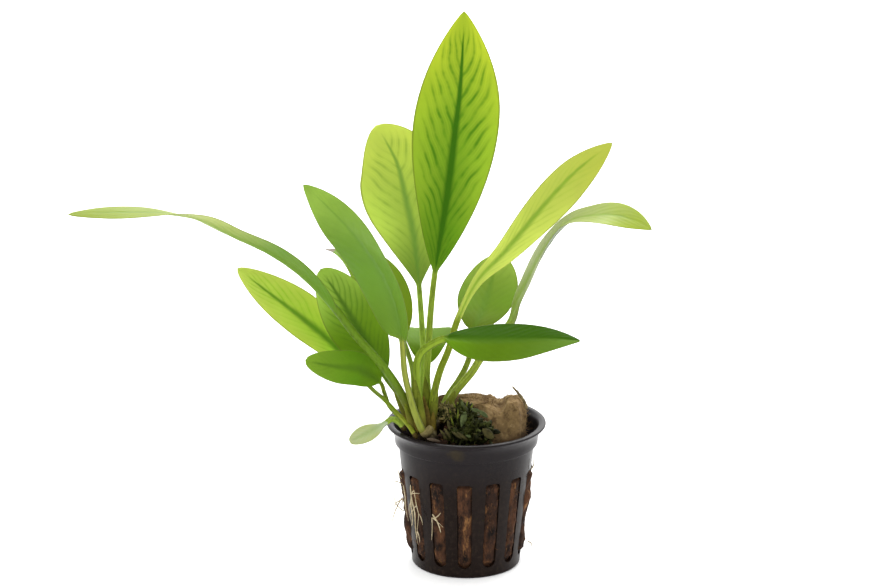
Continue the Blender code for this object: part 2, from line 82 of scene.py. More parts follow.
def alongRoute(route, shares):
    # a smooth cubic through the route's points; each whole number in shares is one of them
    points = np.array(route, float)
    chords = np.linalg.norm(np.diff(points, axis=0), axis=1) ** 0.7
    knots = np.concatenate([[0.0], np.cumsum(chords)])
    slopes = np.empty_like(points)
    slopes[1:-1] = (points[2:] - points[:-2]) / (knots[2:] - knots[:-2])[:, None]
    slopes[0] = 2 * (points[1] - points[0]) / chords[0] - slopes[1]
    slopes[-1] = 2 * (points[-1] - points[-2]) / chords[-1] - slopes[-2]
    span = np.clip(shares.astype(int), 0, len(points) - 2)
    t = (shares - span)[:, None]
    run = chords[span][:, None]
    return ((2 * t**3 - 3 * t**2 + 1) * points[span] + (t**3 - 2 * t**2 + t) * run * slopes[span]
            + (-2 * t**3 + 3 * t**2) * points[span + 1] + (t**3 - t**2) * run * slopes[span + 1])


def evenShares(route, start, stop, count):
    # shares at equal distances along the smooth route
    fine = np.linspace(start, stop, 600)
    steps = np.linalg.norm(np.diff(alongRoute(route, fine), axis=0), axis=1)
    run = np.concatenate([[0.0], np.cumsum(steps)])
    return np.interp(np.linspace(0, run[-1], count), run, fine)


def gridFaces(rows, columns, loopColumns=False):
    # four-sided faces between neighbouring rows and columns of a grid of points
    last = columns if loopColumns else columns - 1
    row, column = np.meshgrid(np.arange(rows - 1), np.arange(last), indexing="ij")
    after = (column + 1) % columns
    here, above = row * columns, (row + 1) * columns
    return np.stack([here + column, here + after, above + after, above + column], -1).reshape(-1, 4)


def joined(*parts):
    # several (points, faces) pairs as one
    points, faces, first = [], [], 0
    for somePoints, someFaces in parts:
        points.append(somePoints.reshape(-1, 3))
        faces.append(someFaces + first)
        first += len(points[-1])
    return np.concatenate(points), np.concatenate(faces)


weldDistance = 0.000004  # in metres; joins the doubles at seams and poles


def newObject(name, data):
    made = bpy.data.objects.new(name, data)
    bpy.context.scene.collection.objects.link(made)
    return made


def pieceName(node):
    # leaf_tall becomes leafTall
    first, *others = node.split("_")
    return first + "".join(word.capitalize() for word in others)


def addPiece(name, surface, material, replaced=(), leafMap=None, marks=None, sharp=None):
    # put (points, faces) into a mesh object, close its seams and poles, and let it ride on the body
    points, faces = surface
    mesh = bpy.data.meshes.new(name)
    mesh.from_pydata((points * mm).tolist(), [], faces.tolist())
    corner = np.empty(len(mesh.loops), int)
    mesh.loops.foreach_get("vertex_index", corner)
    if leafMap is not None:
        mesh.uv_layers.new(name="leafMap").data.foreach_set("uv", leafMap[corner].astype(np.float32).ravel())
    for label, values in (marks or {}).items():
        mark = mesh.attributes.new(label, "FLOAT", "POINT")
        mark.data.foreach_set("value", values.astype(np.float32).ravel())
    shape = bmesh.new()
    shape.from_mesh(mesh)
    bmesh.ops.remove_doubles(shape, verts=shape.verts, dist=weldDistance)
    bmesh.ops.recalc_face_normals(shape, faces=shape.faces)
    shape.to_mesh(mesh)
    shape.free()
    mesh.shade_smooth()
    if sharp is not None:
        mesh.set_sharp_from_angle(angle=math.radians(sharp))
    mesh.materials.append(material)
    piece = newObject(name, mesh)
    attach(piece, "root")
    if replaced:
        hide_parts(*replaced)
    return piece


def strands(roots, ways, lengths, widths, seed, flat=0.45, bend=0.35, stations=6, sides=4, belly=0.45,
            faces=None):
    # many thin strands at once: each leaves its root along its way, bends with the square of the distance
    # gone, is a flattened ring in section whose flat side looks along faces, is widest at belly, and narrows
    # to a point at both ends
    pick = np.random.default_rng(seed)
    heading = unit(ways)
    side = unit(np.cross(heading, pick.normal(size=heading.shape) if faces is None else faces))
    upper = np.cross(side, heading) if faces is None else np.cross(heading, side)
    t = np.linspace(0, 1, stations)
    sway = upper * pick.uniform(0.3, 1, (len(roots), 1)) * bend * lengths[:, None]
    gone = (lengths[:, None] * t)[..., None]
    centre = roots[:, None] + heading[:, None] * gone + sway[:, None] * (t**2)[:, None]
    swell = np.sin(math.pi * t ** (math.log(0.5) / math.log(belly))) ** 0.7
    swell[[0, -1]] = 0
    turn = math.tau * np.arange(sides) / sides
    ring = np.cos(turn)[:, None] * side[:, None, None] + flat * np.sin(turn)[:, None] * upper[:, None, None]
    points = centre[:, :, None] + ring * (widths[:, None] / 2 * swell)[..., None, None]
    firsts = np.arange(len(roots))[:, None, None] * (stations * sides)
    return points.reshape(-1, 3), (gridFaces(stations, sides, loopColumns=True) + firsts).reshape(-1, 4)


def tube(route, radii, stations, sides=12, roughness=0.0, grain=1.0):
    # a ring carried along a route, its radius read between the listed radii, closed to a point at each end
    centre = alongRoute(route, evenShares(route, 0, len(route) - 1, stations))
    heading = unit(np.gradient(centre, axis=0))
    side = unit(np.cross(heading, [0.3, 1.0, 0.1]))
    upper = np.cross(heading, side)
    t = np.linspace(0, 1, stations)
    closing = np.minimum(1, np.sqrt(np.minimum(t, 1 - t) * stations / 2.5))  # over the last few rings
    radius = np.interp(t, np.linspace(0, 1, len(radii)), radii) * closing
    turn = math.tau * np.arange(sides) / sides
    ring = np.cos(turn)[:, None] * side[:, None] + np.sin(turn)[:, None] * upper[:, None]
    points = centre[:, None] + ring * radius[:, None, None]
    points += ring * (roughness * roughNoise(points, grain) * (radius[:, None] > 0))[..., None]
    return points.reshape(-1, 3), gridFaces(stations, sides, loopColumns=True)


# Nodes
def feed(tree, plug, value):
    # a socket's own value, or a link from another node's output
    if isinstance(value, bpy.types.NodeSocket):
        tree.links.new(value, plug)
    else:
        plug.default_value = value


def addNode(tree, kind, settings=None, **inputs):
    # a node with its settings; each input is a value or another node's output, spaces written as _
    node = tree.nodes.new(kind)
    for label, value in (settings or {}).items():
        setattr(node, label, value)
    for label, value in inputs.items():
        feed(tree, node.inputs[label.replace("_", " ")], value)
    return node


def maths(tree, operation, *values):
    node = tree.nodes.new("ShaderNodeMath")
    node.operation = operation
    for plug, value in zip(node.inputs, values):
        feed(tree, plug, value)
    return node.outputs[0]


def times(tree, first, second):
    return maths(tree, "MULTIPLY", first, second)


def fade(tree, value, low, high, start=0.0, end=1.0):
    # from start to end by an s-curve while the value goes from low to high
    node = addNode(tree, "ShaderNodeMapRange", {"interpolation_type": "SMOOTHSTEP"}, Value=value,
                   From_Min=low, From_Max=high, To_Min=start, To_Max=end)
    return node.outputs[0]


def blend(tree, factor, first, second, kind="MIX"):
    # one colour over another
    node = tree.nodes.new("ShaderNodeMix")
    node.data_type = "RGBA"
    node.blend_type = kind
    feed(tree, node.inputs[0], factor)
    for index, tone in ((6, first), (7, second)):  # the node's colour sockets
        feed(tree, node.inputs[index], (*tone, 1) if isinstance(tone, tuple) else tone)
    return node.outputs[2]


def speckle(tree, where, scale, detail=4.0, roughness=0.6, stretch=None):
    # fractal noise at a place, about 0 to 1
    if stretch is not None:
        where = addNode(tree, "ShaderNodeMapping", Vector=where, Scale=stretch).outputs[0]
    noise = addNode(tree, "ShaderNodeTexNoise", Vector=where, Scale=scale, Detail=detail, Roughness=roughness)
    return noise.outputs[0]


def newGroup(name, inputs, outputs):
    # a shader node group; each socket is (name, kind, value)
    tree = bpy.data.node_groups.new(name, "ShaderNodeTree")
    for side, sockets in (("INPUT", inputs), ("OUTPUT", outputs)):
        for label, kind, value in sockets:
            made = tree.interface.new_socket(label, in_out=side, socket_type=kind)
            if value is not None:
                made.default_value = value
    return tree, tree.nodes.new("NodeGroupInput"), tree.nodes.new("NodeGroupOutput")


def newMaterial(name):
    material = bpy.data.materials.new(name)
    material.use_nodes = True
    tree = material.node_tree
    where = tree.nodes.new("ShaderNodeTexCoord").outputs["Object"]
    return material, tree, tree.nodes["Principled BSDF"], where


def placeGroup(tree, group, **inputs):
    return addNode(tree, "ShaderNodeGroup", {"node_tree": group}, **inputs)


def heightOf(tree, where):
    return addNode(tree, "ShaderNodeSeparateXYZ", Vector=where).outputs["Z"]


def finishSkin(tree, shader, tone, rough, shine, relief, strength, depth):
    # colour, roughness, gloss and relief of a material's shader
    tree.links.new(tone, shader.inputs["Base Color"])
    feed(tree, shader.inputs["Roughness"], rough)
    shader.inputs["Specular IOR Level"].default_value = shine
    bump = addNode(tree, "ShaderNodeBump", Height=relief, Strength=strength, Distance=depth)
    tree.links.new(bump.outputs[0], shader.inputs["Normal"])


scalar, vector = "NodeSocketFloat", "NodeSocketVector"
# a row is a fade: from where, to where and, unless they are 0 and 1, its two values
veinForm = dict(bow=1.08, shift=0.45, wobble=1.8, wobbleScale=55.0, patchScale=105.0,
                patchy=(0.36, 0.6, 0.25, 1.0), main=(0.0, 0.32, 1.0, 0.0), between=(0.0, 0.45, 0.3, 0.0),
                sideEnd=(0.5, 0.97, 1.0, 0.0), tipEnd=(0.84, 0.97, 1.0, 0.0), midrib=(0.1, 1.9, 1.0, 0.0),
                midribTaper=(0.0, 0.9, 2.9, 0.8), midribEnd=(0.84, 0.96, 1.0, 0.0),
                heartSide=(0.1, 0.85, 1.0, 0.0), heartTip=(0.1, 0.95, 1.0, 0.25),
                margin=(0.94, 0.985), ridge=1.4, groove=0.8)


def makeVeinGroup():
    # Veins of a blade from its own map: Across runs -1 to 1 between the margins, Along 0 to 1 to the tip.
    # A side vein is where (Along - Lift * |Across|^bow) * Count, with a wobble, is whole, and the right
    # half's are shifted; three times as many finer ones lie between. Heart is 1 beside the midrib near the
    # base.
    v = veinForm
    outputs = ["Midrib", "Laterals", "Heart", "Margin", "Height"]
    tree, given, out = newGroup("leafVeins", [
        ("Across", scalar, 0.0), ("Along", scalar, 0.0), ("Count", scalar, 14.0), ("Lift", scalar, 0.26),
        ("Midrib Width", scalar, 0.05), ("Wander", vector, None)],
        [(label, scalar, None) for label in outputs])
    across, along = given.outputs["Across"], given.outputs["Along"]
    off = maths(tree, "ABSOLUTE", across)
    wobble = maths(tree, "SUBTRACT", speckle(tree, given.outputs["Wander"], v["wobbleScale"], 2.0), 0.5)
    patchy = fade(tree, speckle(tree, given.outputs["Wander"], v["patchScale"], 3.0), *v["patchy"])
    rise = times(tree, maths(tree, "POWER", off, v["bow"]), given.outputs["Lift"])
    phase = times(tree, maths(tree, "SUBTRACT", along, rise), given.outputs["Count"])
    phase = maths(tree, "ADD", phase, times(tree, wobble, v["wobble"]))
    isRight = maths(tree, "GREATER_THAN", across, 0.0)
    phase = maths(tree, "ADD", phase, times(tree, isRight, v["shift"]))
    apart = maths(tree, "PINGPONG", phase, 0.5)  # 0 on a vein, 0.5 half way to the next
    fine = maths(tree, "PINGPONG", times(tree, phase, 3.0), 0.5)
    reach = times(tree, fade(tree, off, *v["sideEnd"]), fade(tree, along, *v["tipEnd"]))
    main = times(tree, fade(tree, apart, *v["main"]), patchy)
    between = times(tree, fade(tree, fine, *v["between"]), patchy)
    lateral = times(tree, maths(tree, "MAXIMUM", main, between), reach)
    narrow = times(tree, given.outputs["Midrib Width"], fade(tree, along, *v["midribTaper"]))
    midrib = fade(tree, maths(tree, "DIVIDE", off, narrow), *v["midrib"])
    midrib = times(tree, midrib, fade(tree, along, *v["midribEnd"]))
    heart = times(tree, fade(tree, off, *v["heartSide"]), fade(tree, along, *v["heartTip"]))
    margin = fade(tree, off, *v["margin"])
    ridge = maths(tree, "SUBTRACT", times(tree, apart, v["ridge"]), times(tree, midrib, v["groove"]))
    for label, value in zip(outputs, (midrib, lateral, heart, margin, ridge)):
        tree.links.new(value, out.inputs[label])
    return tree


def makeGrainGroup():
    # Fine grain: a mask of broad patches, a mask of fine specks, and a height for a bump
    outputs = ["Patches", "Specks", "Height"]
    tree, given, out = newGroup("fineGrain", [
        ("Place", vector, None), ("Patch Scale", scalar, 60.0), ("Speck Scale", scalar, 900.0)],
        [(label, scalar, None) for label in outputs])
    place = given.outputs["Place"]
    broad = speckle(tree, place, given.outputs["Patch Scale"], 5.0, 0.6)
    fine = speckle(tree, place, given.outputs["Speck Scale"], 3.0, 0.7)
    height = maths(tree, "ADD", times(tree, broad, 0.7), times(tree, fine, 0.3))
    for label, value in zip(outputs, (fade(tree, broad, 0.35, 0.65), fade(tree, fine, 0.45, 0.75), height)):
        tree.links.new(value, out.inputs[label])
    return tree


veinGroup = makeVeinGroup()
grainGroup = makeGrainGroup()
print("node groups made")


# Net pot
potSize = dict(height=50.0, rimRadius=27.0, lipInside=25.0, collarRadius=24.3, collarBottom=42.9,
               collarTop=46.4, wallTop=23.1, bandRadius=22.2, baseRadius=18.4, wall=1.1, floor=1.6,
               slots=14, phase=-2.0, slotBottom=3.6, slotTop=34.5, widthTop=5.2, widthBottom=4.6,
               slotRound=2.4, cornerRound=0.9, slotColumns=6, ribColumns=4, bevel=0.22)
# upper is the tone of a painted bluish reflection on the pot's upper wall, collar and lip, faded in between
# its two heights
potLook = dict(foot=(0.0062, 0.0026, 0.0013), footPatch=(0.0088, 0.0042, 0.0027),
               upper=(0.0115, 0.0098, 0.0112), reflectionFrom=28.0, reflectionTo=44.0, dust=(0.05, 0.033, 0.022),
               smear=(0.026, 0.019, 0.009), smearAt=(-3.6, -24.3, 46.4), smearReach=(3.5, 6.5),
               raggedness=6.0, rough=(0.27, 0.36), shine=0.085)


def potOutside(height):
    return np.interp(height, [0, potSize["slotTop"], potSize["collarBottom"]],
                     [potSize["baseRadius"], potSize["bandRadius"], potSize["wallTop"]])


def slotHalf(height):
    # half of a slot's width: a taper, closed by an arch at the foot and rounded corners at the top
    p = potSize
    taper = np.interp(height, [p["slotBottom"], p["slotTop"]], [p["widthBottom"], p["widthTop"]]) / 2
    foot = 1 - np.clip((height - p["slotBottom"]) / p["slotRound"], 0, 1)
    head = 1 - np.clip((p["slotTop"] - height) / p["cornerRound"], 0, 1)
    return taper * np.maximum(0.3, np.sqrt(1 - foot**2)) * np.maximum(0.7, np.sqrt(1 - 0.5 * head**2))


def slotTurns(heights, inSlot, inRib):
    # angles round the pot at each height: that many columns across every slot, and that many across every rib
    p = potSize
    sector = math.tau / p["slots"]
    half = (slotHalf(np.clip(heights, p["slotBottom"], p["slotTop"])) / potOutside(heights))[:, None]
    slotShares, ribShares = np.linspace(-1, 1, inSlot + 1)[:-1], np.linspace(0, 1, inRib + 1)[:-1]
    offsets = np.concatenate([half * slotShares, half + (sector - 2 * half) * ribShares], 1)
    turns = math.radians(p["phase"]) + sector * np.arange(p["slots"])[:, None] + offsets[:, None]
    return turns.reshape(len(heights), -1)


def aroundAxis(radius, turn, height):
    # points at a radius, an angle from the front, and a height
    return np.stack(np.broadcast_arrays(radius * np.sin(turn), -radius * np.cos(turn), height), -1)


def potSurface():
    # A closed profile of (radius, height) turned about the pot's axis. In each of the sectors the columns
    # follow the slot's two edges, the faces inside the slot are left out, and the cut is walled in.
    p = potSize
    low, high = p["slotBottom"], p["slotTop"]
    foot, collar, below, above = p["baseRadius"], p["collarRadius"], p["collarBottom"], p["collarTop"]
    rim, within, top = p["rimRadius"], p["lipInside"], p["height"]
    wallRows = np.concatenate([
        [0.8, 2.2], low + p["slotRound"] * np.linspace(0, 1, 8) ** 1.6,
        np.linspace(low + 4.4, high - 3.5, 12), high - p["cornerRound"] * np.linspace(1.6, 0, 5),
        [high + 1.5, high + 3.5, below - 2.9, below - 1, below - 0.4]])
    under = [(0, 0), (9, 0), (foot - 0.9, 0), (foot - 0.25, 0.12), (foot + 0.05, 0.4)]
    lip = [(p["wallTop"] + 0.1, below - 0.18), (collar - 0.5, below - 0.1), (collar - 0.1, below + 0.05),
           (collar, below + 0.4), (collar + 0.15, above - 1.6), (collar + 0.3, above - 0.4),
           (collar + 0.6, above + 0.3), (rim - 1.5, top - 2.05), (rim - 0.65, top - 1.3),
           (rim - 0.2, top - 0.9), (rim, top - 0.58), (rim - 0.07, top - 0.28), (rim - 0.35, top - 0.07),
           (rim - 1.2, top), (within, top - 0.08), (within - 0.4, top - 0.45), (within - 0.9, top - 1.6),
           (collar - 0.6, above + 0.5), (collar - 0.9, above - 1.4), (collar - 1.2, above - 2.5)]
    floor = [(foot - 2.2, p["floor"]), (8, p["floor"]), (0, p["floor"])]
    outer = np.stack([potOutside(wallRows), wallRows], 1)
    inner = (outer - [p["wall"], 0])[::-1]
    inner = inner[inner[:, 1] > p["floor"]]
    profile = np.concatenate([under, outer, lip, inner, floor])
    outerAt, innerAt = len(under), len(under) + len(outer) + len(lip) + len(inner) - 1
    turns = slotTurns(profile[:, 1], p["slotColumns"], p["ribColumns"])
    points = aroundAxis(profile[:, :1], turns, profile[:, 1:])
    rows, columns = turns.shape
    index = np.arange(rows * columns).reshape(rows, columns)
    span = np.arange(*np.searchsorted(wallRows, [low - 0.01, high - 0.01]))
    lacking = len(outer) - len(inner)  # wall rows under the floor that the inside lacks
    outside, inside = outerAt + span, innerAt - (span - lacking)
    pitch = p["slotColumns"] + p["ribColumns"]
    isSlot = np.arange(columns) % pitch < p["slotColumns"]
    isOpen = np.zeros((rows - 1, columns), bool)
    isOpen[np.ix_(outside, isSlot)] = True
    isOpen[np.ix_(inside - 1, isSlot)] = True
    faces = gridFaces(rows, columns, loopColumns=True)[~isOpen.ravel()]
    edges = np.arange(0, columns, pitch)
    sides = []
    for edge in (edges, edges + p["slotColumns"]):
        a, b = outside[:, None], inside[:, None]
        cut = np.stack([index[a, edge], index[a + 1, edge], index[b - 1, edge], index[b, edge]], -1)
        sides.append(cut.reshape(-1, 4))
    across = np.flatnonzero(isSlot)
    for a, b in ((outside[0], inside[0]), (outside[-1] + 1, inside[-1] - 1)):
        after = (across + 1) % columns
        sides.append(np.stack([index[a, across], index[a, after], index[b, after], index[b, across]], -1))
    return points.reshape(-1, 3), np.concatenate([faces] + sides)


def potMaterial():
    # black plastic: brownish below with a painted bluish reflection above, dusty towards the foot, with a
    # smear of dirt on the collar
    k = potLook
    material, tree, shader, where = newMaterial("potPlastic")
    grain = placeGroup(tree, grainGroup, Place=where, Patch_Scale=45.0, Speck_Scale=700.0)
    tone = blend(tree, grain.outputs["Patches"], k["foot"], k["footPatch"])
    height = heightOf(tree, where)
    # painted reflection: above these heights the plastic turns lighter and bluish
    tone = blend(tree, fade(tree, height, k["reflectionFrom"] * mm, k["reflectionTo"] * mm, 0.0, 0.8), tone, k["upper"])
    dusty = times(tree, grain.outputs["Specks"], fade(tree, height, 0.0, potSize["height"] * mm, 0.3, 0.08))
    tone = blend(tree, dusty, tone, k["dust"])
    smear = addNode(tree, "ShaderNodeVectorMath", {"operation": "DISTANCE"}, Vector=where)
    smear.inputs[1].default_value = [value * mm for value in k["smearAt"]]
    ragged = times(tree, speckle(tree, where, 420.0, 3.0, 0.6), k["raggedness"] * mm)
    near, far = (value * mm for value in k["smearReach"])
    dirt = fade(tree, maths(tree, "ADD", smear.outputs["Value"], ragged), near, far, 0.8, 0.0)
    tone = blend(tree, dirt, tone, k["smear"])
    rough = fade(tree, grain.outputs["Patches"], 0.0, 1.0, *k["rough"])
    finishSkin(tree, shader, tone, rough, k["shine"], grain.outputs["Height"], 0.12, 0.3 * mm)
    return material


def makePot():
    pot = addPiece("netPot", potSurface(), potMaterial(), ["net_pot"], sharp=45)
    bevel = pot.modifiers.new("softEdges", "BEVEL")
    bevel.width = potSize["bevel"] * mm
    bevel.segments = 2
    bevel.limit_method = "ANGLE"
    bevel.angle_limit = math.radians(42)
    bevel.harden_normals = True


makePot()
print("pot made")


# Rock wool
plugSize = dict(low=1.95, top=41.3, level=45.6, lowSide=3.5, gap=0.3, bulgeSides=1.9, bulgeFront=0.25,
                inSlot=16, inRib=3, rows=130, capRings=26, footRings=6)
blockSize = dict(outline=[(-10.2, 9), (-4.8, 7.5), (-1, 2.5), (3, -4), (6.8, -12.2), (12.1, -13),
                          (17.8, -11.8), (20.3, -4), (19.8, 3), (17, 10.5), (8.7, 15.5), (-5, 15)],
                 top=56.8, bottom=44.4, lean=6.5, crest=2.2, notchAt=11.3, notchDepth=1.6, notchWidth=2.0,
                 rightShoulder=4.2, backShoulder=2.6)
fibreSize = dict(onBlock=900, above=46.0, inSlots=1100, slotTurn=0.075)


def plugSurface():
    # The wool inside the pot: rings from the underside up the wall and in over the top. In each slot it
    # swells out to the wall's face and a little past it, by a rounded section across the slot, most at the
    # pot's sides. Its top is higher in the middle and lower at the right.
    w, p = plugSize, potSize
    heights = np.linspace(w["low"], w["top"], w["rows"])
    turns = slotTurns(heights, w["inSlot"], w["inRib"])
    acrossSlot = np.linspace(-1, 1, w["inSlot"] + 1)
    place = np.abs(np.tile(np.concatenate([acrossSlot, np.full(w["inRib"] - 1, np.inf)]), p["slots"]))
    spot = aroundAxis(20.0, turns, heights[:, None])
    window = smoothStep(p["slotBottom"] + 0.4, p["slotBottom"] + 2.5, heights)
    window *= smoothStep(p["slotTop"] - 0.3, p["slotTop"] - 1.8, heights)
    ridge = np.where(place > 1, 0, 1 - 0.4 * np.minimum(place, 1) ** 4) * window[:, None]
    bulge = w["bulgeFront"] + (w["bulgeSides"] - w["bulgeFront"]) * np.abs(np.sin(turns)) ** 8
    swell = ridge * (p["wall"] + w["gap"] - 0.35 + bulge * (0.75 + 0.45 * softNoise(spot, 5.0, 3.1)))
    rough = (0.34 * roughNoise(spot * [1, 1, 0.6], 2.6, 3)
             + 0.2 * roughNoise(spot * [1, 1, 0.4], 1.1, 2)) * ridge
    inside = potOutside(heights)[:, None] - p["wall"] - w["gap"]
    wall = aroundAxis(inside + swell + rough, turns, heights[:, None])
    cap = wall[-1] * np.linspace(1, 0, w["capRings"])[1:, None, None]
    reach = np.linalg.norm(cap[..., :2], axis=-1)
    falls = w["lowSide"] * smoothStep(13, 20, cap[..., 0]) * smoothStep(21, 17, reach)
    cap[..., 2] = w["top"] + (w["level"] - w["top"]) * smoothStep(21, 17.5, reach) - falls
    cap[..., 2] += 0.7 * roughNoise(cap, 2.4) * smoothStep(20, 18, reach)
    foot = wall[0] * np.linspace(0, 1, w["footRings"])[:-1, None, None]
    foot[..., 2] = w["low"]
    points = np.concatenate([foot, wall, cap])
    points[0, :, :2] = 0
    points[-1, :, :2] = 0
    points[-1, :, 2] = points[-1, :, 2].mean()
    return points.reshape(-1, 3), gridFaces(*points.shape[:2], loopColumns=True)


def blockSurface(around=220, up=70, over=40):
    # The block above the rim: a closed outline with rounded corners carried up its sides and drawn in over
    # the top, whose height is a plateau with a crest, a notch and sloping shoulders. Its front leans back,
    # and noise tears it.
    w = blockSize
    corners = np.array(w["outline"] + w["outline"][:1], float)
    run = np.concatenate([[0], np.cumsum(np.linalg.norm(np.diff(corners, axis=0), axis=1))])
    t = np.linspace(0, run[-1], around, endpoint=False)
    edge = np.stack([np.interp(t, run, corners[:, k]) for k in (0, 1)], 1)
    soft = sum(np.roll(edge, k, axis=0) for k in (-1, 0, 1)) / 3
    middle = soft.mean(0)
    side = np.linspace(0, 1, up)
    inward = np.linspace(0, 1, over + 1)[1:]
    shares = np.concatenate([np.ones(up) - 0.03 * side**8, 0.97 * (1 - inward)])
    lift = np.concatenate([side, np.ones(over)])
    crown = np.concatenate([np.zeros(up), np.sin(inward * math.pi / 2)])
    flat = middle + (soft - middle)[None] * shares[:, None, None]
    x, y = flat[..., 0], flat[..., 1]
    notch = w["notchDepth"] * np.exp(-((x - w["notchAt"]) / w["notchWidth"]) ** 2)
    crest = w["crest"] * smoothStep(12, 14, x) * smoothStep(-9, -1, -y)
    shoulder = w["rightShoulder"] * smoothStep(17, 20.8, x) + w["backShoulder"] * smoothStep(8, 15, y)
    top = w["top"] + crest - notch - shoulder + 0.45 * roughNoise(np.stack([x, y, 0 * x], -1), 3.5)
    z = w["bottom"] + (top - 0.5 + 0.5 * crown[:, None] - w["bottom"]) * lift[:, None]
    leaning = y + w["lean"] * lift[:, None] * smoothStep(0, 10, -y)
    points = np.stack([x, leaning, z], -1)
    away = (np.concatenate([unit(soft - middle), np.zeros((around, 1))], 1)[None]
            * (shares > 0.2)[:, None, None])
    torn = 0.3 * roughNoise(points, 4.5, 2) + 0.2 * roughNoise(points * [1, 1, 0.5], 1.1, 3)
    points += away * torn[..., None] * smoothStep(0, 0.2, lift)[:, None, None]
    points[..., 2] += 0.22 * roughNoise(points, 1.2, 3, 5.0) * (lift[:, None] > 0.8)
    return points.reshape(-1, 3), gridFaces(len(points), around, loopColumns=True)


def woolFibres(seed=5):
    # loose fibres that lie on the block and stick out of the slots
    pick = np.random.default_rng(seed)
    f, p = fibreSize, potSize
    points = blockSurface(120, 40, 26)[0]
    chosen = points[pick.integers(0, len(points), f["onBlock"])]
    chosen = chosen[chosen[:, 2] > f["above"]]
    outwards = unit(chosen - [8, 2, 48]) * 0.35
    ways = pick.normal(size=chosen.shape) + outwards
    lengths = pick.uniform(1.0, 3.4, len(chosen))
    widths = pick.uniform(0.08, 0.2, len(chosen))
    block = strands(chosen - outwards * 0.8, ways, lengths, widths, seed + 1, flat=0.8, bend=0.5, sides=3)
    count = f["inSlots"]
    height = pick.uniform(p["slotBottom"] + 2, p["slotTop"] - 1, count)
    turn = math.radians(p["phase"]) + math.tau / p["slots"] * pick.integers(0, p["slots"], count)
    turn = turn + pick.uniform(-f["slotTurn"], f["slotTurn"], count)
    roots = aroundAxis(potOutside(height) + pick.uniform(-0.5, 0.35, count), turn, height)
    ways = pick.normal(size=roots.shape) * [0.25, 0.25, 1.0] + aroundAxis(1.0, turn, 0.0) * 0.12
    lengths, widths = pick.uniform(0.7, 2.2, count), pick.uniform(0.1, 0.22, count)
    slots = strands(roots, ways, lengths, widths, seed + 2, flat=0.7, bend=0.3, sides=3)
    return block, slots


# scale is that of the clumps, hollowShade how dark the painted shade in the hollows between them is,
# upright how long the fibres stand, paintedGlint a painted highlight on the fibres, footShade the
# heights of a painted shade at the foot
woolLooks = dict(
    slotWool=dict(light=(0.08, 0.034, 0.016), mid=(0.023, 0.011, 0.007), dark=(0.005, 0.0035, 0.003),
                  paintedGlint=(0.21, 0.1, 0.036), scale=150.0, hollowShade=0.9),
    blockWool=dict(light=(0.25, 0.165, 0.075), mid=(0.17, 0.11, 0.045), dark=(0.06, 0.034, 0.015),
                   paintedGlint=(0.3, 0.21, 0.1), scale=90.0, hollowShade=0.45, upright=0.75, relief=0.6,
                   footShade=(48.0, 51.0)),
    woolFibre=dict(light=(0.26, 0.17, 0.08), mid=(0.15, 0.085, 0.036), dark=(0.07, 0.04, 0.018),
                   paintedGlint=(0.36, 0.25, 0.12), scale=200.0, hollowShade=0.4),
    slotFibre=dict(light=(0.13, 0.062, 0.026), mid=(0.07, 0.032, 0.015), dark=(0.02, 0.01, 0.006),
                   paintedGlint=(0.2, 0.11, 0.05), scale=200.0, hollowShade=0.4))


def woolMaterial(name, light, mid, dark, paintedGlint, scale, hollowShade, upright=0.3, relief=0.9, footShade=None):
    # clumps of two tones, painted shade in the hollows between them, painted highlights on fine fibres,
    # and, where given, painted shade that darkens the foot
    material, tree, shader, where = newMaterial(name)
    grain = placeGroup(tree, grainGroup, Place=where, Patch_Scale=scale, Speck_Scale=1500.0)
    stringy = speckle(tree, where, 420.0, 5.0, 0.7, stretch=(1.0, 1.0, upright))
    tone = blend(tree, grain.outputs["Patches"], mid, light)
    hollow = speckle(tree, where, 2.3 * scale, 3.0, 0.6, stretch=(1.0, 1.0, 0.6))
    # painted shade: the hollows between the clumps are darkened
    tone = blend(tree, fade(tree, hollow, 0.5, 0.68, 0.0, hollowShade), tone, dark)
    tone = blend(tree, fade(tree, stringy, 0.5, 0.66, 0.0, 0.75), tone, dark)
    # painted highlight: fibres that seem to catch the light take the glint tone
    tone = blend(tree, fade(tree, stringy, 0.44, 0.33, 0.0, 0.8), tone, paintedGlint)
    # painted shade: darker towards the foot, near the pot's rim
    if footShade is not None:
        ragged = maths(tree, "MULTIPLY_ADD", grain.outputs["Patches"], 3 * mm, heightOf(tree, where))
        tone = blend(tree, fade(tree, ragged, footShade[0] * mm, footShade[1] * mm, 0.85, 0.0), tone, dark)
    both = maths(tree, "ADD", stringy, times(tree, grain.outputs["Height"], 0.7))
    finishSkin(tree, shader, tone, 0.95, 0.15, both, relief, 0.6 * mm)
    return material


def makeWool():
    onBlock, inSlots = woolFibres()
    for name, surface, look, replaced in (
            ("woolPlug", plugSurface(), "slotWool", ["wool_plug"]),
            ("woolBlock", blockSurface(), "blockWool", []),
            ("woolFibres", onBlock, "woolFibre", []),
            ("slotFibres", inSlots, "slotFibre", [])):
        addPiece(name, surface, woolMaterial(look, **woolLooks[look]), replaced)


makeWool()
print("wool made")


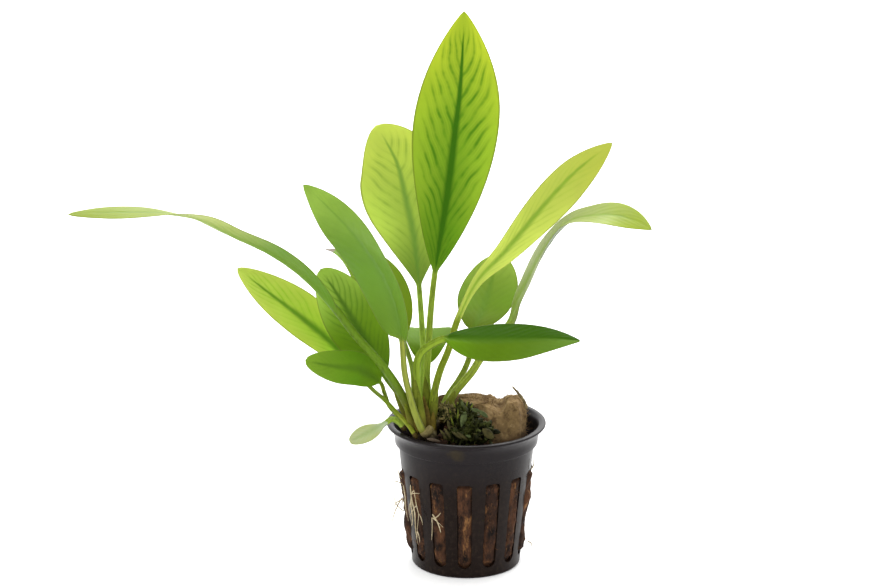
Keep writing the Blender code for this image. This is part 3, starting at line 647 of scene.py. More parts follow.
# Leaves. In each leaf's dictionary:
# route goes from the stem to the tip, and the blade begins at its point number bladeFrom;
# facing lists (share of the blade, direction) for the upper side, and fold is the halves' rise at base
# and tip; width is the blade's, widest where along it, baseForm and tipForm how pointed its ends are, and
# stalk the radius at blade and foot; low, mid and high are the blade's tones from base to tip, which pass
# into each other at turns; contrast is the veins', glow the light let through, shine and gloss the sheen
# and the roughness, foot where the stalk's brown end stops, back what the underside keeps of the tone,
# dusk the painted shade that darkens the half beyond the midrib, and dryTip where a dry tip starts.
leafDetail = dict(stalkStations=30, bladeStations=72, around=48, footDepth=2.2, sheet=0.42, edge=0.16,
                  rib=0.75, swollenFoot=0.12, footShare=0.09, stalkTaper=0.75, rightShift=0.45)
usualLeaf = dict(lift=0.3, glow=0.5, shine=0.08, gloss=0.42, contrast=0.3, pucker=0.11,
                 foot=-0.93, turns=(0.02, 0.4, 0.95), back=(0.6, 0.6, 0.9), wave=0.3, veins=13)
leaves = {
    "leaf_tall": dict(
        route=[(-12.8, -8.2, 51.5), (-13.2, -7.8, 57), (-13.5, -7, 65.5), (-13, -6, 74.5), (-12, -3, 89.5),
               (-10.5, 1, 102.5), (-6.6, 6, 126.5), (-4.0, 9, 147.5), (-2.2, 9, 163.5), (-1, 5, 189.8)],
        facing=[(0, (0.05, -1, 0.15)), (1, (0, -1, 0.3))],
        bladeFrom=5, width=28.8, widest=0.55, baseForm=0.66, tipForm=0.85, fold=(10, 6), stalk=(0.95, 1.35),
        low=(0.13, 0.31, 0.009), mid=(0.38, 0.54, 0.042), high=(0.53, 0.6, 0.045), vein=(0.06, 0.19, 0.005),
        stem=(0.33, 0.44, 0.055), contrast=0.95, wave=0.5, foot=-0.7),
    "leaf_back_left": dict(
        route=[(-14.9, -4.4, 51.5), (-15, -3.5, 56), (-14.8, -1.5, 63), (-14.5, 2.5, 72.5), (-16, 12, 94),
               (-18, 19.5, 110.5), (-20.5, 24.5, 121), (-23.2, 29, 131.5), (-26.4, 31, 138),
               (-30.8, 34, 144.6)],
        facing=[(0, (0.15, -1, 0.2)), (1, (0.1, -1, 0.5))],
        bladeFrom=4, width=30, widest=0.58, baseForm=0.78, tipForm=0.62, fold=(8, 5), stalk=(0.9, 1.2),
        low=(0.21, 0.33, 0.045), mid=(0.55, 0.68, 0.13), high=(0.61, 0.69, 0.14), vein=(0.19, 0.34, 0.06),
        stem=(0.34, 0.47, 0.07), contrast=0.5, gloss=0.45, wave=0.2),
    "leaf_front_dark": dict(
        route=[(-13.8, -17.6, 51.4), (-15.4, -17.8, 54), (-18, -17.8, 61.5), (-20.5, -18.5, 72.5),
               (-21.5, -19.5, 85), (-23.8, -21.5, 97.5), (-27.9, -24, 109), (-34.9, -28, 121),
               (-43, -32, 131.5), (-52.6, -35, 141.5)],
        facing=[(0, (-0.7, -0.7, 0)), (0.5, (-0.7, -0.7, -0.1)), (1, (-0.3, -1, 0.2))],
        bladeFrom=4, width=22, widest=0.42, baseForm=0.42, tipForm=0.78, fold=(24, 10), stalk=(0.95, 1.2),
        low=(0.14, 0.27, 0.013), mid=(0.14, 0.29, 0.02), high=(0.29, 0.45, 0.056), vein=(0.1, 0.22, 0.02),
        stem=(0.27, 0.31, 0.04), veins=11, contrast=0.1, glow=0.3, shine=0.2, gloss=0.36, pucker=0.03,
        foot=-0.9),
    "leaf_behind_dark": dict(
        route=[(-17.8, -3.2, 51.4), (-17.8, -3, 56), (-17.8, -2.5, 63.5), (-18.5, -1, 70), (-21.5, 3, 78.5),
               (-25.8, 7, 89.2), (-32.6, 11, 99), (-40, 14, 104), (-48, 17, 105.5)],
        facing=[(0, (0.3, -1, 0.3)), (0.6, (0.2, -1, 0.8)), (1, (0.1, -0.3, 1))],
        bladeFrom=4, width=17.2, widest=0.42, baseForm=0.8, tipForm=1.3, fold=(10, 8), stalk=(0.8, 0.9),
        low=(0.21, 0.31, 0.012), mid=(0.22, 0.35, 0.02), high=(0.2, 0.35, 0.04), vein=(0.1, 0.22, 0.02),
        stem=(0.24, 0.34, 0.04), veins=10, glow=0.35, shine=0.1, gloss=0.4, wave=0.4, pucker=0.03,
        dryTip=0.9),
    "leaf_wide_left": dict(
        route=[(-18.6, -6.7, 51.4), (-20, -6.4, 56.5), (-22.8, -6, 61.5), (-27.5, -5.5, 68),
               (-34.5, -5.5, 81), (-41.5, -6.5, 94), (-48.5, -7.5, 105.6)],
        facing=[(0, (0.1, -1, 0.4)), (1, (0, -1, 0.5))],
        bladeFrom=3, width=19.2, widest=0.52, baseForm=0.6, tipForm=0.56, fold=(10, 6), stalk=(1.0, 1.15),
        low=(0.13, 0.25, 0.011), mid=(0.21, 0.38, 0.016), high=(0.43, 0.61, 0.105),
        vein=(0.08, 0.18, 0.012), stem=(0.2, 0.32, 0.035), contrast=0.6, glow=0.45, lift=0.32, wave=0.4),
    # its pale grey-green mid tone is a painted sheen along the middle of the blade
    "leaf_long_arch": dict(
        route=[(-16.8, -10.8, 51.8), (-17.8, -12, 54.6), (-20, -14, 60.5), (-24, -16.5, 69), (-29, -19, 77),
               (-37, -23, 88), (-43.5, -26, 98), (-53, -34, 111), (-63, -41, 120.5), (-75, -48, 128.5),
               (-84, -54, 135), (-94.5, -59, 138.3), (-109.5, -63, 139.6), (-124, -66, 139.8)],
        facing=[(0, (0.5, 0.5, 0.4)), (0.32, (0.42, 0.66, 0.7)), (0.46, (0.35, 0.5, 0.8)),
                (0.64, (0, 0.34, 1)), (0.72, (0, 0.16, 1)), (0.82, (0, -0.32, 1)), (1, (-0.1, -0.4, 1))],
        bladeFrom=6, width=13.0, widest=0.5, baseForm=0.5, tipForm=0.62, fold=(24, -4), stalk=(1.3, 1.55),
        low=(0.12, 0.26, 0.006), mid=(0.42, 0.48, 0.14), high=(0.29, 0.365, 0.04), vein=(0.16, 0.28, 0.03),
        stem=(0.13, 0.235, 0.007), veins=14, glow=0.35, shine=0.2, gloss=0.38, lift=0.25, wave=0.0,
        pucker=0.03, turns=(0.28, 0.6, 0.75), foot=-0.55, back=(0.97, 0.98, 0.8)),
    "leaf_left_lit": dict(
        route=[(-17.5, -17.1, 51.2), (-20, -15.8, 54.5), (-23.2, -13.5, 57.3), (-27.5, -10.5, 61),
               (-32.8, -3, 63.4), (-45, 2, 76.4), (-56, 5, 85.2), (-67, 8, 93), (-77.3, 11, 100.6)],
        facing=[(0, (0.45, -0.8, 0.6)), (1, (0.35, -0.85, 0.6))],
        bladeFrom=4, width=17.2, widest=0.52, baseForm=0.8, tipForm=0.66, fold=(20, 14), stalk=(0.7, 0.72),
        low=(0.35, 0.63, 0.03), mid=(0.49, 0.62, 0.083), high=(0.52, 0.61, 0.12), vein=(0.13, 0.28, 0.015),
        stem=(0.31, 0.36, 0.035), stemTop=(0.22, 0.31, 0.025), contrast=0.65, wave=0.5, foot=-0.98),
    "leaf_low_left": dict(
        route=[(-21, -6.5, 51.4), (-23.5, -6, 54.4), (-26, -5.5, 57.2), (-27.5, -6.7, 62), (-29, -11, 67.4),
               (-35.5, -18, 74), (-43.3, -21, 76), (-53.2, -23.2, 78.8)],
        facing=[(0, (0, -1, 0.5)), (1, (0, -1, 0.5))],
        bladeFrom=4, width=11.6, widest=0.5, baseForm=0.55, tipForm=0.5, fold=(6, 4), stalk=(0.7, 0.8),
        low=(0.19, 0.35, 0.0095), mid=(0.13, 0.29, 0.0081), high=(0.22, 0.37, 0.029),
        vein=(0.08, 0.17, 0.01), stem=(0.22, 0.3, 0.025), veins=10, contrast=0.35, glow=0.35, shine=0.12,
        gloss=0.38, wave=0.25, pucker=0.03),
    # its whitish base tone is a painted highlight
    "leaf_small_pale": dict(
        route=[(-21.4, -10, 51.6), (-23, -10.6, 53.4), (-25, -12, 54.6), (-27, -14.5, 54.2),
               (-31, -17.5, 52.6), (-39, -20, 49.4)],
        facing=[(0, (0, -0.6, 1)), (1, (0, -0.6, 1))],
        bladeFrom=3, width=7.2, widest=0.6, baseForm=0.9, tipForm=0.45, fold=(8, 4), stalk=(0.95, 1.1),
        low=(0.66, 0.72, 0.58), mid=(0.48, 0.54, 0.22), high=(0.45, 0.5, 0.23), vein=(0.3, 0.42, 0.14),
        stem=(0.4, 0.54, 0.07), veins=8, glow=0.35, shine=0.3, gloss=0.4, wave=0.2),
    "leaf_slender_right": dict(
        route=[(-11.4, -11.3, 51.4), (-11.5, -11, 54), (-11, -10, 62), (-9, -8, 70), (-6, -5.5, 77),
               (-2.9, -3, 87), (3.6, -1, 99.7), (12.9, 1, 109.4), (23, 4, 121.2), (30.7, 6, 129.8),
               (37.5, 8, 136.2), (48.5, 9, 144.5)],
        facing=[(0, (0.1, -1, 0.1)), (0.5, (0.3, -1, 0)), (1, (0.4, -1, 0))],
        bladeFrom=5, width=15.2, widest=0.69, baseForm=0.7, tipForm=0.78, fold=(20, 24), stalk=(1.1, 1.3),
        low=(0.55, 0.64, 0.13), mid=(0.67, 0.75, 0.18), high=(0.5, 0.54, 0.1), vein=(0.2, 0.38, 0.03),
        stem=(0.29, 0.37, 0.033), veins=14, contrast=0.4, shine=0.1, lift=0.28, foot=-0.85),
    # its whitish mid tone is a painted sheen on the narrow lower part of the blade
    "leaf_arch_right": dict(
        route=[(-7.4, -4, 51.7), (-6.7, -2.5, 54), (-4.5, 1.5, 58.5), (-1, 3.5, 62.5), (2, 4.5, 66),
               (5.5, 5, 71.5), (14.6, 4, 83), (17.1, 2, 91.5), (19.7, 0, 98), (26, -4, 112),
               (33, -7, 121.3), (41.5, -10, 124.5), (51, -12, 124.6), (60.5, -15, 121)],
        facing=[(0, (-0.6, -0.65, 0.3)), (0.22, (-0.65, -0.52, 0.4)), (0.45, (-0.75, -0.15, 0.5)),
                (0.6, (-0.55, 0.12, 0.8)), (0.68, (-0.3, 0, 0.9)), (0.75, (-0.1, -0.2, 0.9)),
                (0.82, (0, -0.45, 0.85)), (0.9, (0.08, -0.65, 0.85)), (1, (0.2, -0.8, 0.8))],
        bladeFrom=6, width=13.2, widest=0.72, baseForm=0.36, tipForm=0.85, fold=(24, 3), stalk=(1.4, 1.3),
        low=(0.2, 0.3, 0.014), mid=(0.48, 0.53, 0.31), high=(0.36, 0.455, 0.035), vein=(0.25, 0.38, 0.06),
        stem=(0.34, 0.43, 0.045), contrast=0.35, glow=0.35, shine=0.2, gloss=0.36, lift=0.25, wave=0.05,
        pucker=0.05, foot=-0.85),
    "leaf_round_back": dict(
        route=[(-9.2, -0.9, 51.6), (-8.5, 0.5, 53.5), (-6, 5, 57.5), (-2.5, 10, 61.3), (0, 13.5, 65),
               (1.5, 15.5, 69.2), (2.7, 18, 76.5), (6, 28, 80.9), (9, 43, 86.3), (11.4, 54, 93)],
        facing=[(0, (-0.1, -0.6, 0.8)), (1, (-0.1, -0.3, 1))],
        bladeFrom=6, width=20.6, widest=0.5, baseForm=0.5, tipForm=0.45, fold=(4, 3), stalk=(0.95, 1.1),
        low=(0.14, 0.21, 0.015), mid=(0.17, 0.3, 0.014), high=(0.33, 0.46, 0.072), vein=(0.12, 0.24, 0.018),
        stem=(0.28, 0.36, 0.05), veins=10, contrast=0.25, glow=0.45, shine=0.04, gloss=0.45, pucker=0.03),
    "leaf_level_right": dict(
        route=[(-14, -13.6, 51.4), (-14.9, -13.9, 56), (-16.4, -15, 65), (-16.8, -15.5, 73),
               (-15.6, -16, 78.4), (-12.3, -17, 81.9), (-7, -18, 84.6), (4, -21, 85), (15.5, -24, 86),
               (26.5, -26, 87), (37, -28, 87)],
        facing=[(0, (0, -0.45, 0.9)), (1, (0, -0.45, 0.9))],
        bladeFrom=6, width=18.4, widest=0.42, baseForm=0.75, tipForm=0.85, fold=(-8, -4), stalk=(1.35, 1.3),
        low=(0.13, 0.27, 0.007), mid=(0.093, 0.18, 0.005), high=(0.13, 0.245, 0.03), vein=(0.1, 0.2, 0.02),
        stem=(0.23, 0.33, 0.03), veins=11, contrast=0.04, glow=0.25, shine=0.03, gloss=0.33, wave=0.35,
        pucker=0.03, foot=-0.58, dusk=(0.036, 0.105, 0.0015)),
    "leaf_centre_back": dict(
        route=[(-12.2, -2.2, 51.6), (-12.5, -0.5, 55), (-13, 5, 61), (-13.5, 10, 67), (-13.5, 17, 72),
               (-13, 29, 73), (-13, 39, 70), (-13.5, 47, 63)],
        facing=[(0, (0, -0.7, 0.7)), (0.5, (0, 0.1, 1)), (1, (0, 0.6, 0.8))],
        bladeFrom=3, width=16.6, widest=0.45, baseForm=0.6, tipForm=0.8, fold=(6, 4), stalk=(0.95, 1.05),
        low=(0.15, 0.27, 0.005), mid=(0.15, 0.285, 0.003), high=(0.215, 0.38, 0.006),
        vein=(0.08, 0.17, 0.01), stem=(0.28, 0.4, 0.045), veins=10, glow=0.4, gloss=0.45, wave=0.35),
}


def leafSurface(leaf):
    # Sections along the route from the foot of the stalk to the tip. A section is a ring of turns: out is
    # cos(turn) times the reach; the height is the stalk's circle, blended into the blade's thin lens with
    # a midrib below and a groove above. Each half is raised by the fold, and the veins pucker the sheet.
    d = leafDetail
    route, joint = leaf["route"], leaf["bladeFrom"]
    stalk = evenShares(route, 0, joint, d["stalkStations"])[:-1]
    blade = evenShares(route, joint, len(route) - 1, d["bladeStations"])
    centre = alongRoute(route, np.concatenate([stalk, blade]))
    v = np.concatenate([np.linspace(-1, 0, len(stalk), endpoint=False), np.linspace(0, 1, len(blade))])
    sunk = centre[0] + np.linspace(-1, -0.3, 3)[:, None] * unit(centre[1] - centre[0]) * d["footDepth"]
    centre = np.concatenate([sunk, centre])
    v = np.concatenate([[-1.0] * len(sunk), v])[:, None]
    heading = smoothed(unit(np.gradient(centre, axis=0)), 6)
    along = np.clip(v, 0, 1)
    places, ways = zip(*leaf["facing"])
    upper = np.stack([np.interp(along[:, 0], places, column) for column in unit(np.array(ways, float)).T], 1)
    upper = smoothed(upper, 8)
    upper = unit(upper - (upper * heading).sum(1)[:, None] * heading)
    across = np.cross(heading, upper)
    # the blade's half width and the stalk's radius; their squares share out the section between the two forms
    skew = math.log(0.5) / math.log(leaf["widest"])
    form = leaf["baseForm"] + (leaf["tipForm"] - leaf["baseForm"]) * along
    wide = leaf["width"] / 2 * np.clip(np.sin(math.pi * along**skew), 0, 1) ** form
    atBlade, atFoot = leaf["stalk"]
    thick = np.interp(v, [-1, 0], [atFoot, atBlade]) * (1 - d["stalkTaper"] * along)
    thick = thick * (1 + d["swollenFoot"] * np.exp(-((v + 1) / d["footShare"])))
    reach = np.hypot(thick, wide)
    roundShare = thick**2 / (thick**2 + wide**2)
    turn = math.tau * (np.arange(d["around"]) + 0.5) / d["around"]
    t, s = np.cos(turn)[None], np.sin(turn)[None]
    groove = 1 - 0.3 * np.exp(-((t / 0.35) ** 2)) * (s > 0) * smoothStep(-0.9, -0.6, v)
    ring = s * thick * groove
    lens = np.sign(s) * (d["edge"] + (d["sheet"] - d["edge"]) * (1 - t**2)) / 2 * np.minimum(1, np.abs(s) * 4)
    ribWidth = np.maximum(thick * 0.8, 0.35)
    rib = np.exp(-((t * wide / ribWidth) ** 2)) * d["rib"] * thick
    lens = lens - np.where(s > 0, 0.35 * rib, rib)
    phase = (v - leaf["lift"] * np.abs(t) ** 1.25) * leaf["veins"] + d["rightShift"] * (t > 0)
    pucker = leaf["pucker"] * np.cos(math.tau * phase) * (1 - np.abs(t) ** 4) * np.minimum(1, wide / 5)
    spot = np.stack(np.broadcast_arrays(v * 4, t * 1.5, leaf["width"]), -1)
    wave = leaf["wave"] * softNoise(spot, 1.0) * t**2 * np.minimum(1, wide / 6)
    height = roundShare * ring + (1 - roundShare) * (lens + pucker + wave)
    fold = np.radians(np.interp(along, [0, 1], leaf["fold"])) * (1 - roundShare)
    out = t * reach
    lift = (np.sqrt(out**2 + 0.5) - np.sqrt(0.5)) * np.sin(fold) + height
    points = (centre[:, None] + across[:, None] * (out * np.cos(fold))[..., None]
              + upper[:, None] * lift[..., None])
    points[[0, -1]] = points[[0, -1]].mean(1, keepdims=True)
    leafMap = np.stack(np.broadcast_arrays((t + 1) / 2, v), -1).reshape(-1, 2)
    under = np.broadcast_to(s < 0, points.shape[:2]).ravel()
    return (points.reshape(-1, 3), gridFaces(*points.shape[:2], loopColumns=True)), leafMap, under


leafLook = dict(midrib=1.3, marginTone=(0.17, 0.19, 0.035), margin=0.55, dryTone=(0.3, 0.25, 0.2),
                footTone=(0.12, 0.085, 0.022), streaks=(0.42, 0.62, 0.0, 0.6), stemEdgeHighlight=(0.6, 0.95, 0.0, 0.6),
                stemTopFrom=-0.72, stemTopTo=-0.55, roughRange=0.12)


def scaledTone(tone, share):
    return tuple(share * value for value in tone)


def leafMaterial(name, leaf):
    # blade colours from base to tip, deeper round the midrib, darker veins, a fine margin, the stalk below,
    # whose sides are lightened as a painted highlight
    k = leafLook
    material, tree, shader, where = newMaterial(name)
    blade = addNode(tree, "ShaderNodeUVMap", {"uv_map": "leafMap"})
    place = addNode(tree, "ShaderNodeSeparateXYZ", Vector=blade.outputs[0])
    across = maths(tree, "MULTIPLY_ADD", place.outputs["X"], 2.0, -1.0)
    along = place.outputs["Y"]
    veins = placeGroup(tree, veinGroup, Across=across, Along=along, Count=float(leaf["veins"]),
                       Lift=leaf["lift"], Midrib_Width=k["midrib"] / leaf["width"], Wander=where)
    grain = placeGroup(tree, grainGroup, Place=where, Patch_Scale=45.0, Speck_Scale=600.0)
    start, middle, end = leaf["turns"]
    tone = blend(tree, fade(tree, along, start, middle), leaf["low"], leaf["mid"])
    tone = blend(tree, fade(tree, along, middle, end), tone, leaf["high"])
    tone = blend(tree, times(tree, veins.outputs["Heart"], leaf["contrast"] * 0.8), tone, leaf["low"])
    tone = blend(tree, times(tree, grain.outputs["Patches"], 0.3), tone, scaledTone(leaf["mid"], 0.72))
    # painted shade: the half of the blade beyond its midrib is darkened
    if "dusk" in leaf:  # the half of the blade beyond its midrib is deeper
        tone = blend(tree, fade(tree, across, 0.3, -0.2, 0.0, 1.0), tone, leaf["dusk"])
    sideVein = tuple((vein + low) / 2 for vein, low in zip(leaf["vein"], leaf["low"]))
    tone = blend(tree, times(tree, veins.outputs["Laterals"], leaf["contrast"]), tone, sideVein)
    tone = blend(tree, times(tree, veins.outputs["Midrib"], 0.25 + leaf["contrast"]), tone, leaf["vein"])
    tone = blend(tree, times(tree, veins.outputs["Margin"], k["margin"]), tone, k["marginTone"])
    if "dryTip" in leaf:
        tone = blend(tree, fade(tree, along, leaf["dryTip"], leaf["dryTip"] + 0.03), tone, k["dryTone"])
    streaks = speckle(tree, where, 900.0, 3.0, 0.6, stretch=(1.0, 1.0, 0.05))
    stem = blend(tree, fade(tree, streaks, *k["streaks"]), leaf["stem"], scaledTone(leaf["stem"], 0.55))
    # painted highlight: the stalk is lighter along its two sides
    stemEdgeHighlight = fade(tree, maths(tree, "ABSOLUTE", across), *k["stemEdgeHighlight"])
    stem = blend(tree, stemEdgeHighlight, stem, scaledTone(leaf["stem"], 1.3))
    if "stemTop" in leaf:  # another tone above the stalk's foot
        stem = blend(tree, fade(tree, along, k["stemTopFrom"], k["stemTopTo"]), stem, leaf["stemTop"])
    stem = blend(tree, fade(tree, along, -1.0, leaf["foot"]), k["footTone"], stem)
    tone = blend(tree, fade(tree, along, -0.03, 0.03), stem, tone)
    under = addNode(tree, "ShaderNodeAttribute", {"attribute_name": "under"}).outputs["Fac"]
    dull = blend(tree, 1.0, tone, leaf["back"], "MULTIPLY")  # the underside's skin is duller
    rough = fade(tree, grain.outputs["Patches"], 0.0, 1.0, leaf["gloss"], leaf["gloss"] + k["roughRange"])
    relief = maths(tree, "ADD", veins.outputs["Height"], times(tree, grain.outputs["Height"], 0.6))
    finishSkin(tree, shader, blend(tree, under, tone, dull), rough, leaf["shine"], relief, 0.2, 0.4 * mm)
    through = addNode(tree, "ShaderNodeBsdfTranslucent", Color=tone)
    mixed = addNode(tree, "ShaderNodeMixShader")
    mixed.inputs[0].default_value = leaf["glow"]
    tree.links.new(shader.outputs[0], mixed.inputs[1])
    tree.links.new(through.outputs[0], mixed.inputs[2])
    tree.links.new(mixed.outputs[0], tree.nodes["Material Output"].inputs["Surface"])
    return material


def makeLeaves():
    for node, own in leaves.items():
        leaf = {**usualLeaf, **own}
        surface, leafMap, under = leafSurface(leaf)
        name = pieceName(node)
        skin = leafMaterial(name + "Skin", leaf)
        addPiece(name, surface, skin, [node], leafMap, {"under": under})


makeLeaves()
print("leaves made")


# Creeping stem, moss, roots and the dry stalk
# a skin's light and dark tones; a third one, where given, lies at the foot and passes into the others
# between two heights, as (low, high, tone)
skins = {
    "stemSkin": ((0.19, 0.155, 0.055), (0.07, 0.055, 0.02), (50.0, 52.6, (0.016, 0.01, 0.005))),
    "dryScale": ((0.15, 0.115, 0.012), (0.07, 0.05, 0.006)),
    "sheathSkin": ((0.15, 0.18, 0.012), (0.08, 0.1, 0.006), (52.5, 62.0, (0.1, 0.085, 0.012))),
    "drySkin": ((0.075, 0.055, 0.036), (0.04, 0.028, 0.018)),
    "mossPaintedShade": ((0.016, 0.018, 0.005), (0.005, 0.006, 0.002)),
    "mossGreen": ((0.043, 0.052, 0.007), (0.009, 0.01, 0.002)),
    "mossDry": ((0.27, 0.225, 0.085), (0.09, 0.075, 0.024)),
    "mossDeep": ((0.075, 0.08, 0.02), (0.012, 0.014, 0.004)),
    "mossBright": ((0.2, 0.24, 0.03), (0.09, 0.11, 0.015)),
    "mossPale": ((0.1, 0.125, 0.045), (0.045, 0.06, 0.02)),
    "mossOlive": ((0.075, 0.066, 0.02), (0.022, 0.019, 0.006)),
    "rootCream": ((0.52, 0.44, 0.29), (0.3, 0.24, 0.14)),
    "dryStalk": ((0.28, 0.22, 0.1), (0.1, 0.07, 0.035)),
}


def barkMaterial(name):
    # two tones in patches, and a third one at the foot where the skin has it
    light, dark, *sunk = skins[name]
    material, tree, shader, where = newMaterial(name)
    grain = placeGroup(tree, grainGroup, Place=where, Patch_Scale=260.0, Speck_Scale=1400.0)
    tone = blend(tree, grain.outputs["Patches"], dark, light)
    tone = blend(tree, times(tree, grain.outputs["Specks"], 0.5), tone, dark)
    for low, high, deep in sunk:
        tone = blend(tree, fade(tree, heightOf(tree, where), low * mm, high * mm), deep, tone)
    rough = fade(tree, grain.outputs["Specks"], 0.0, 1.0, 0.6, 0.8)
    finishSkin(tree, shader, tone, rough, 0.1, grain.outputs["Height"], 0.5, 0.4 * mm)
    return material


def addBits(name, bits, skin, slot, seed, bend=0.12, **shape):
    # strands from rows of (foot, tip, width), their flat sides towards the front
    feet, tips, widths = (np.array(column, float) for column in zip(*bits))
    ways = tips - feet
    lengths = np.linalg.norm(ways, axis=1)
    flakes = strands(feet, ways, lengths, widths, seed, bend=bend, faces=np.array([0.25, -1.0, 0.3]), **shape)
    addPiece(name, flakes, barkMaterial(skin))


stemParts = [
    dict(route=[(-13.2, -18.6, 49.4), (-12.0, -16.5, 49.6), (-13.4, -11, 49.2), (-13.4, -6.5, 49),
                (-11, -3, 48.8), (-8.4, -0.2, 48.6)],
         radii=[1.8, 2.6, 3.2, 3.6, 3.2, 1.9], stations=60, sides=28, roughness=0.35, grain=1.6),
    dict(route=[(-12.5, -12, 48.6), (-15.8, -9.6, 49), (-18.3, -7.4, 49.2)],
         radii=[2.4, 3.0, 2.2], stations=30, sides=24, roughness=0.3, grain=1.5),
    dict(route=[(-12.4, -12.5, 48.2), (-15.5, -15.2, 48.9), (-17.4, -17.4, 49.6)],
         radii=[2.0, 2.2, 1.5], stations=24, sides=20, roughness=0.25, grain=1.5),
    dict(route=[(-14.4, -18.7, 50.4), (-13.1, -18.2, 52.2), (-11.5, -17.6, 54.0)],
         radii=[1.5, 1.5, 1.3], stations=24, sides=20, roughness=0.22, grain=1.1)]
stemBits = {
    # papery remains of old stalks between the leaf stalks
    "stalkScales": dict(
        bits=[((-14.4, -16.3, 50.5), (-14.6, -15.4, 61.5), 2.6),
              ((-12.8, -15.6, 50.5), (-13.2, -14.6, 60.5), 2.2),
              ((-16.2, -16.4, 51), (-17.2, -15.8, 58.4), 1.8),
              ((-11.4, -15.4, 50.6), (-11.0, -14.6, 58.2), 1.9),
              ((-14.6, -15.6, 51), (-15.2, -14.4, 59), 2.8), ((-13.6, -13.6, 51), (-14.3, -11.6, 63), 2.8),
              ((-16, -12.9, 51), (-16.6, -12.1, 61), 2.8), ((-12.7, -13, 51), (-12.8, -11.4, 58.5), 2.6),
              ((-15.2, -13.2, 51), (-15.3, -11.6, 62), 2.6), ((-18.6, -11.4, 51), (-20.4, -9.6, 56.4), 2.6),
              ((-18, -15, 51), (-19.2, -13.6, 55.6), 2.2)],
        skin="dryScale", slot="rhizome", seed=31, flat=0.16, stations=12, sides=10, belly=0.4),
    # green sheaths that widen the feet of the stalks and run together at the stem
    "stalkSheaths": dict(
        bits=[((-15.2, -16.6, 51), (-17.6, -16.4, 73), 3.2), ((-14.0, -17.4, 51), (-16.0, -16.9, 66), 2.4),
              ((-12.6, -10.4, 51), (-13.7, -8.9, 68.5), 3.4), ((-12.0, -13.0, 51), (-9.8, -9.8, 67), 2.9),
              ((-16.4, -14.6, 51), (-20.6, -16.2, 62.0), 2.4), ((-18.2, -9.6, 51), (-24.6, -7.2, 64.5), 2.8),
              ((-7.8, -5.4, 53), (-3.6, -0.2, 61), 3.4), ((-17.2, -15.6, 51), (-20.6, -16.6, 61), 2.2)],
        skin="sheathSkin", slot="leaf_green", seed=36, flat=0.3, stations=16, sides=10, belly=0.4, bend=0.04),
    # a sliver that lies on the pot's rim
    "drySliver": dict(bits=[((-13.4, -22.2, 51.3), (-8.7, -22.7, 50.5), 1.1)],
                      skin="drySkin", slot="rhizome", seed=32, flat=0.25, stations=12, sides=8)}


def makeRhizome():
    stem = joined(*(tube(**part) for part in stemParts))
    addPiece("creepingStem", stem, barkMaterial("stemSkin"), ["rhizome"])
    for name, bits in stemBits.items():
        addBits(name, **bits)


# the clump's lumps are (centre, radii); lobes and needles are counted for each lump
mossSize = dict(lumps=[((-1.5, -14.5, 49.0), (4.9, 4.6, 2.7)), ((-0.6, -10.6, 51.9), (5.4, 4.2, 5.6)),
                       ((4.2, -15.9, 50.6), (5.0, 2.7, 4.6)), ((-1.6, -7.4, 54.2), (3.8, 3.0, 4.2)),
                       ((-6.6, -9.0, 55.4), (2.8, 2.4, 2.8))],
                lobes=110, needles=260, rings=26, around=40, shell=0.76, tanLeftOf=-3.4, tanAbove=52,
                tanShare=0.6, fringe=130, fringeAt=(-6.6, -7.9, 57.0), fringeReach=(2.5, 1.5, 0.7))
mossBits = {
    # yellow-green needles at the clump's top, brightened in part as a painted highlight
    "mossTips": dict(
        bits=[((-2.4, -7.8, 56.6), (-2.9, -8.2, 59.4), 0.7), ((-1.4, -7.6, 56.8), (-1.2, -8.2, 60.0), 0.6),
              ((-0.4, -7.8, 56.6), (0.5, -8.4, 59.6), 0.6), ((0.6, -8.6, 55.8), (2.2, -9.6, 58.8), 0.7),
              ((-3.4, -8.4, 56.8), (-4.6, -9.2, 59.8), 0.6), ((-5.0, -10.6, 54.6), (-5.6, -12.2, 58.2), 0.7),
              ((-4.2, -13.4, 52.0), (-5.0, -15.4, 56.2), 0.7),
              ((-3.0, -12.6, 54.0), (-2.6, -14.4, 58.4), 0.6)],
        skin="mossBright", slot="moss", seed=35, flat=0.3, stations=10, sides=6, bend=0.3),
    "mossTongues": dict(
        bits=[((-1.9, -15.6, 52.8), (-0.3, -13.8, 58.0), 2.3), ((1.2, -13.6, 58.8), (4.4, -14.2, 58.2), 1.3),
              ((3.4, -14.2, 58.9), (7.2, -15.4, 56.4), 1.5), ((-0.5, -19.6, 51.6), (1.5, -19.7, 51.0), 1.0),
              ((-1.0, -9.5, 57.5), (-1.6, -10.2, 60.2), 1.0)],
        skin="mossPale", slot="moss", seed=33, flat=0.22, stations=12, sides=10, belly=0.6),
    "mossScraps": dict(
        bits=[((5.2, -19, 53.8), (9.0, -20.1, 50.3), 3.0), ((-7.6, -18, 53.6), (-5.2, -19.9, 50.6), 1.0),
              ((-5.2, -18.4, 52.6), (-1.4, -20.2, 50.4), 0.9), ((-3.4, -19, 52.6), (0.4, -20.6, 50.2), 1.1),
              ((-6.4, -16, 55.6), (-5.4, -17.4, 52.4), 1.1), ((2.2, -19.6, 52.4), (5.2, -20.6, 50.3), 1.0),
              ((-7.6, -17.6, 52.0), (-7.2, -19.0, 49.8), 0.8),
              ((-9.0, -17.8, 53.0), (-6.4, -19.4, 50.0), 0.9)],
        skin="mossOlive", slot="moss", seed=34, flat=0.14, stations=12, sides=8, belly=0.5, bend=0.3)}


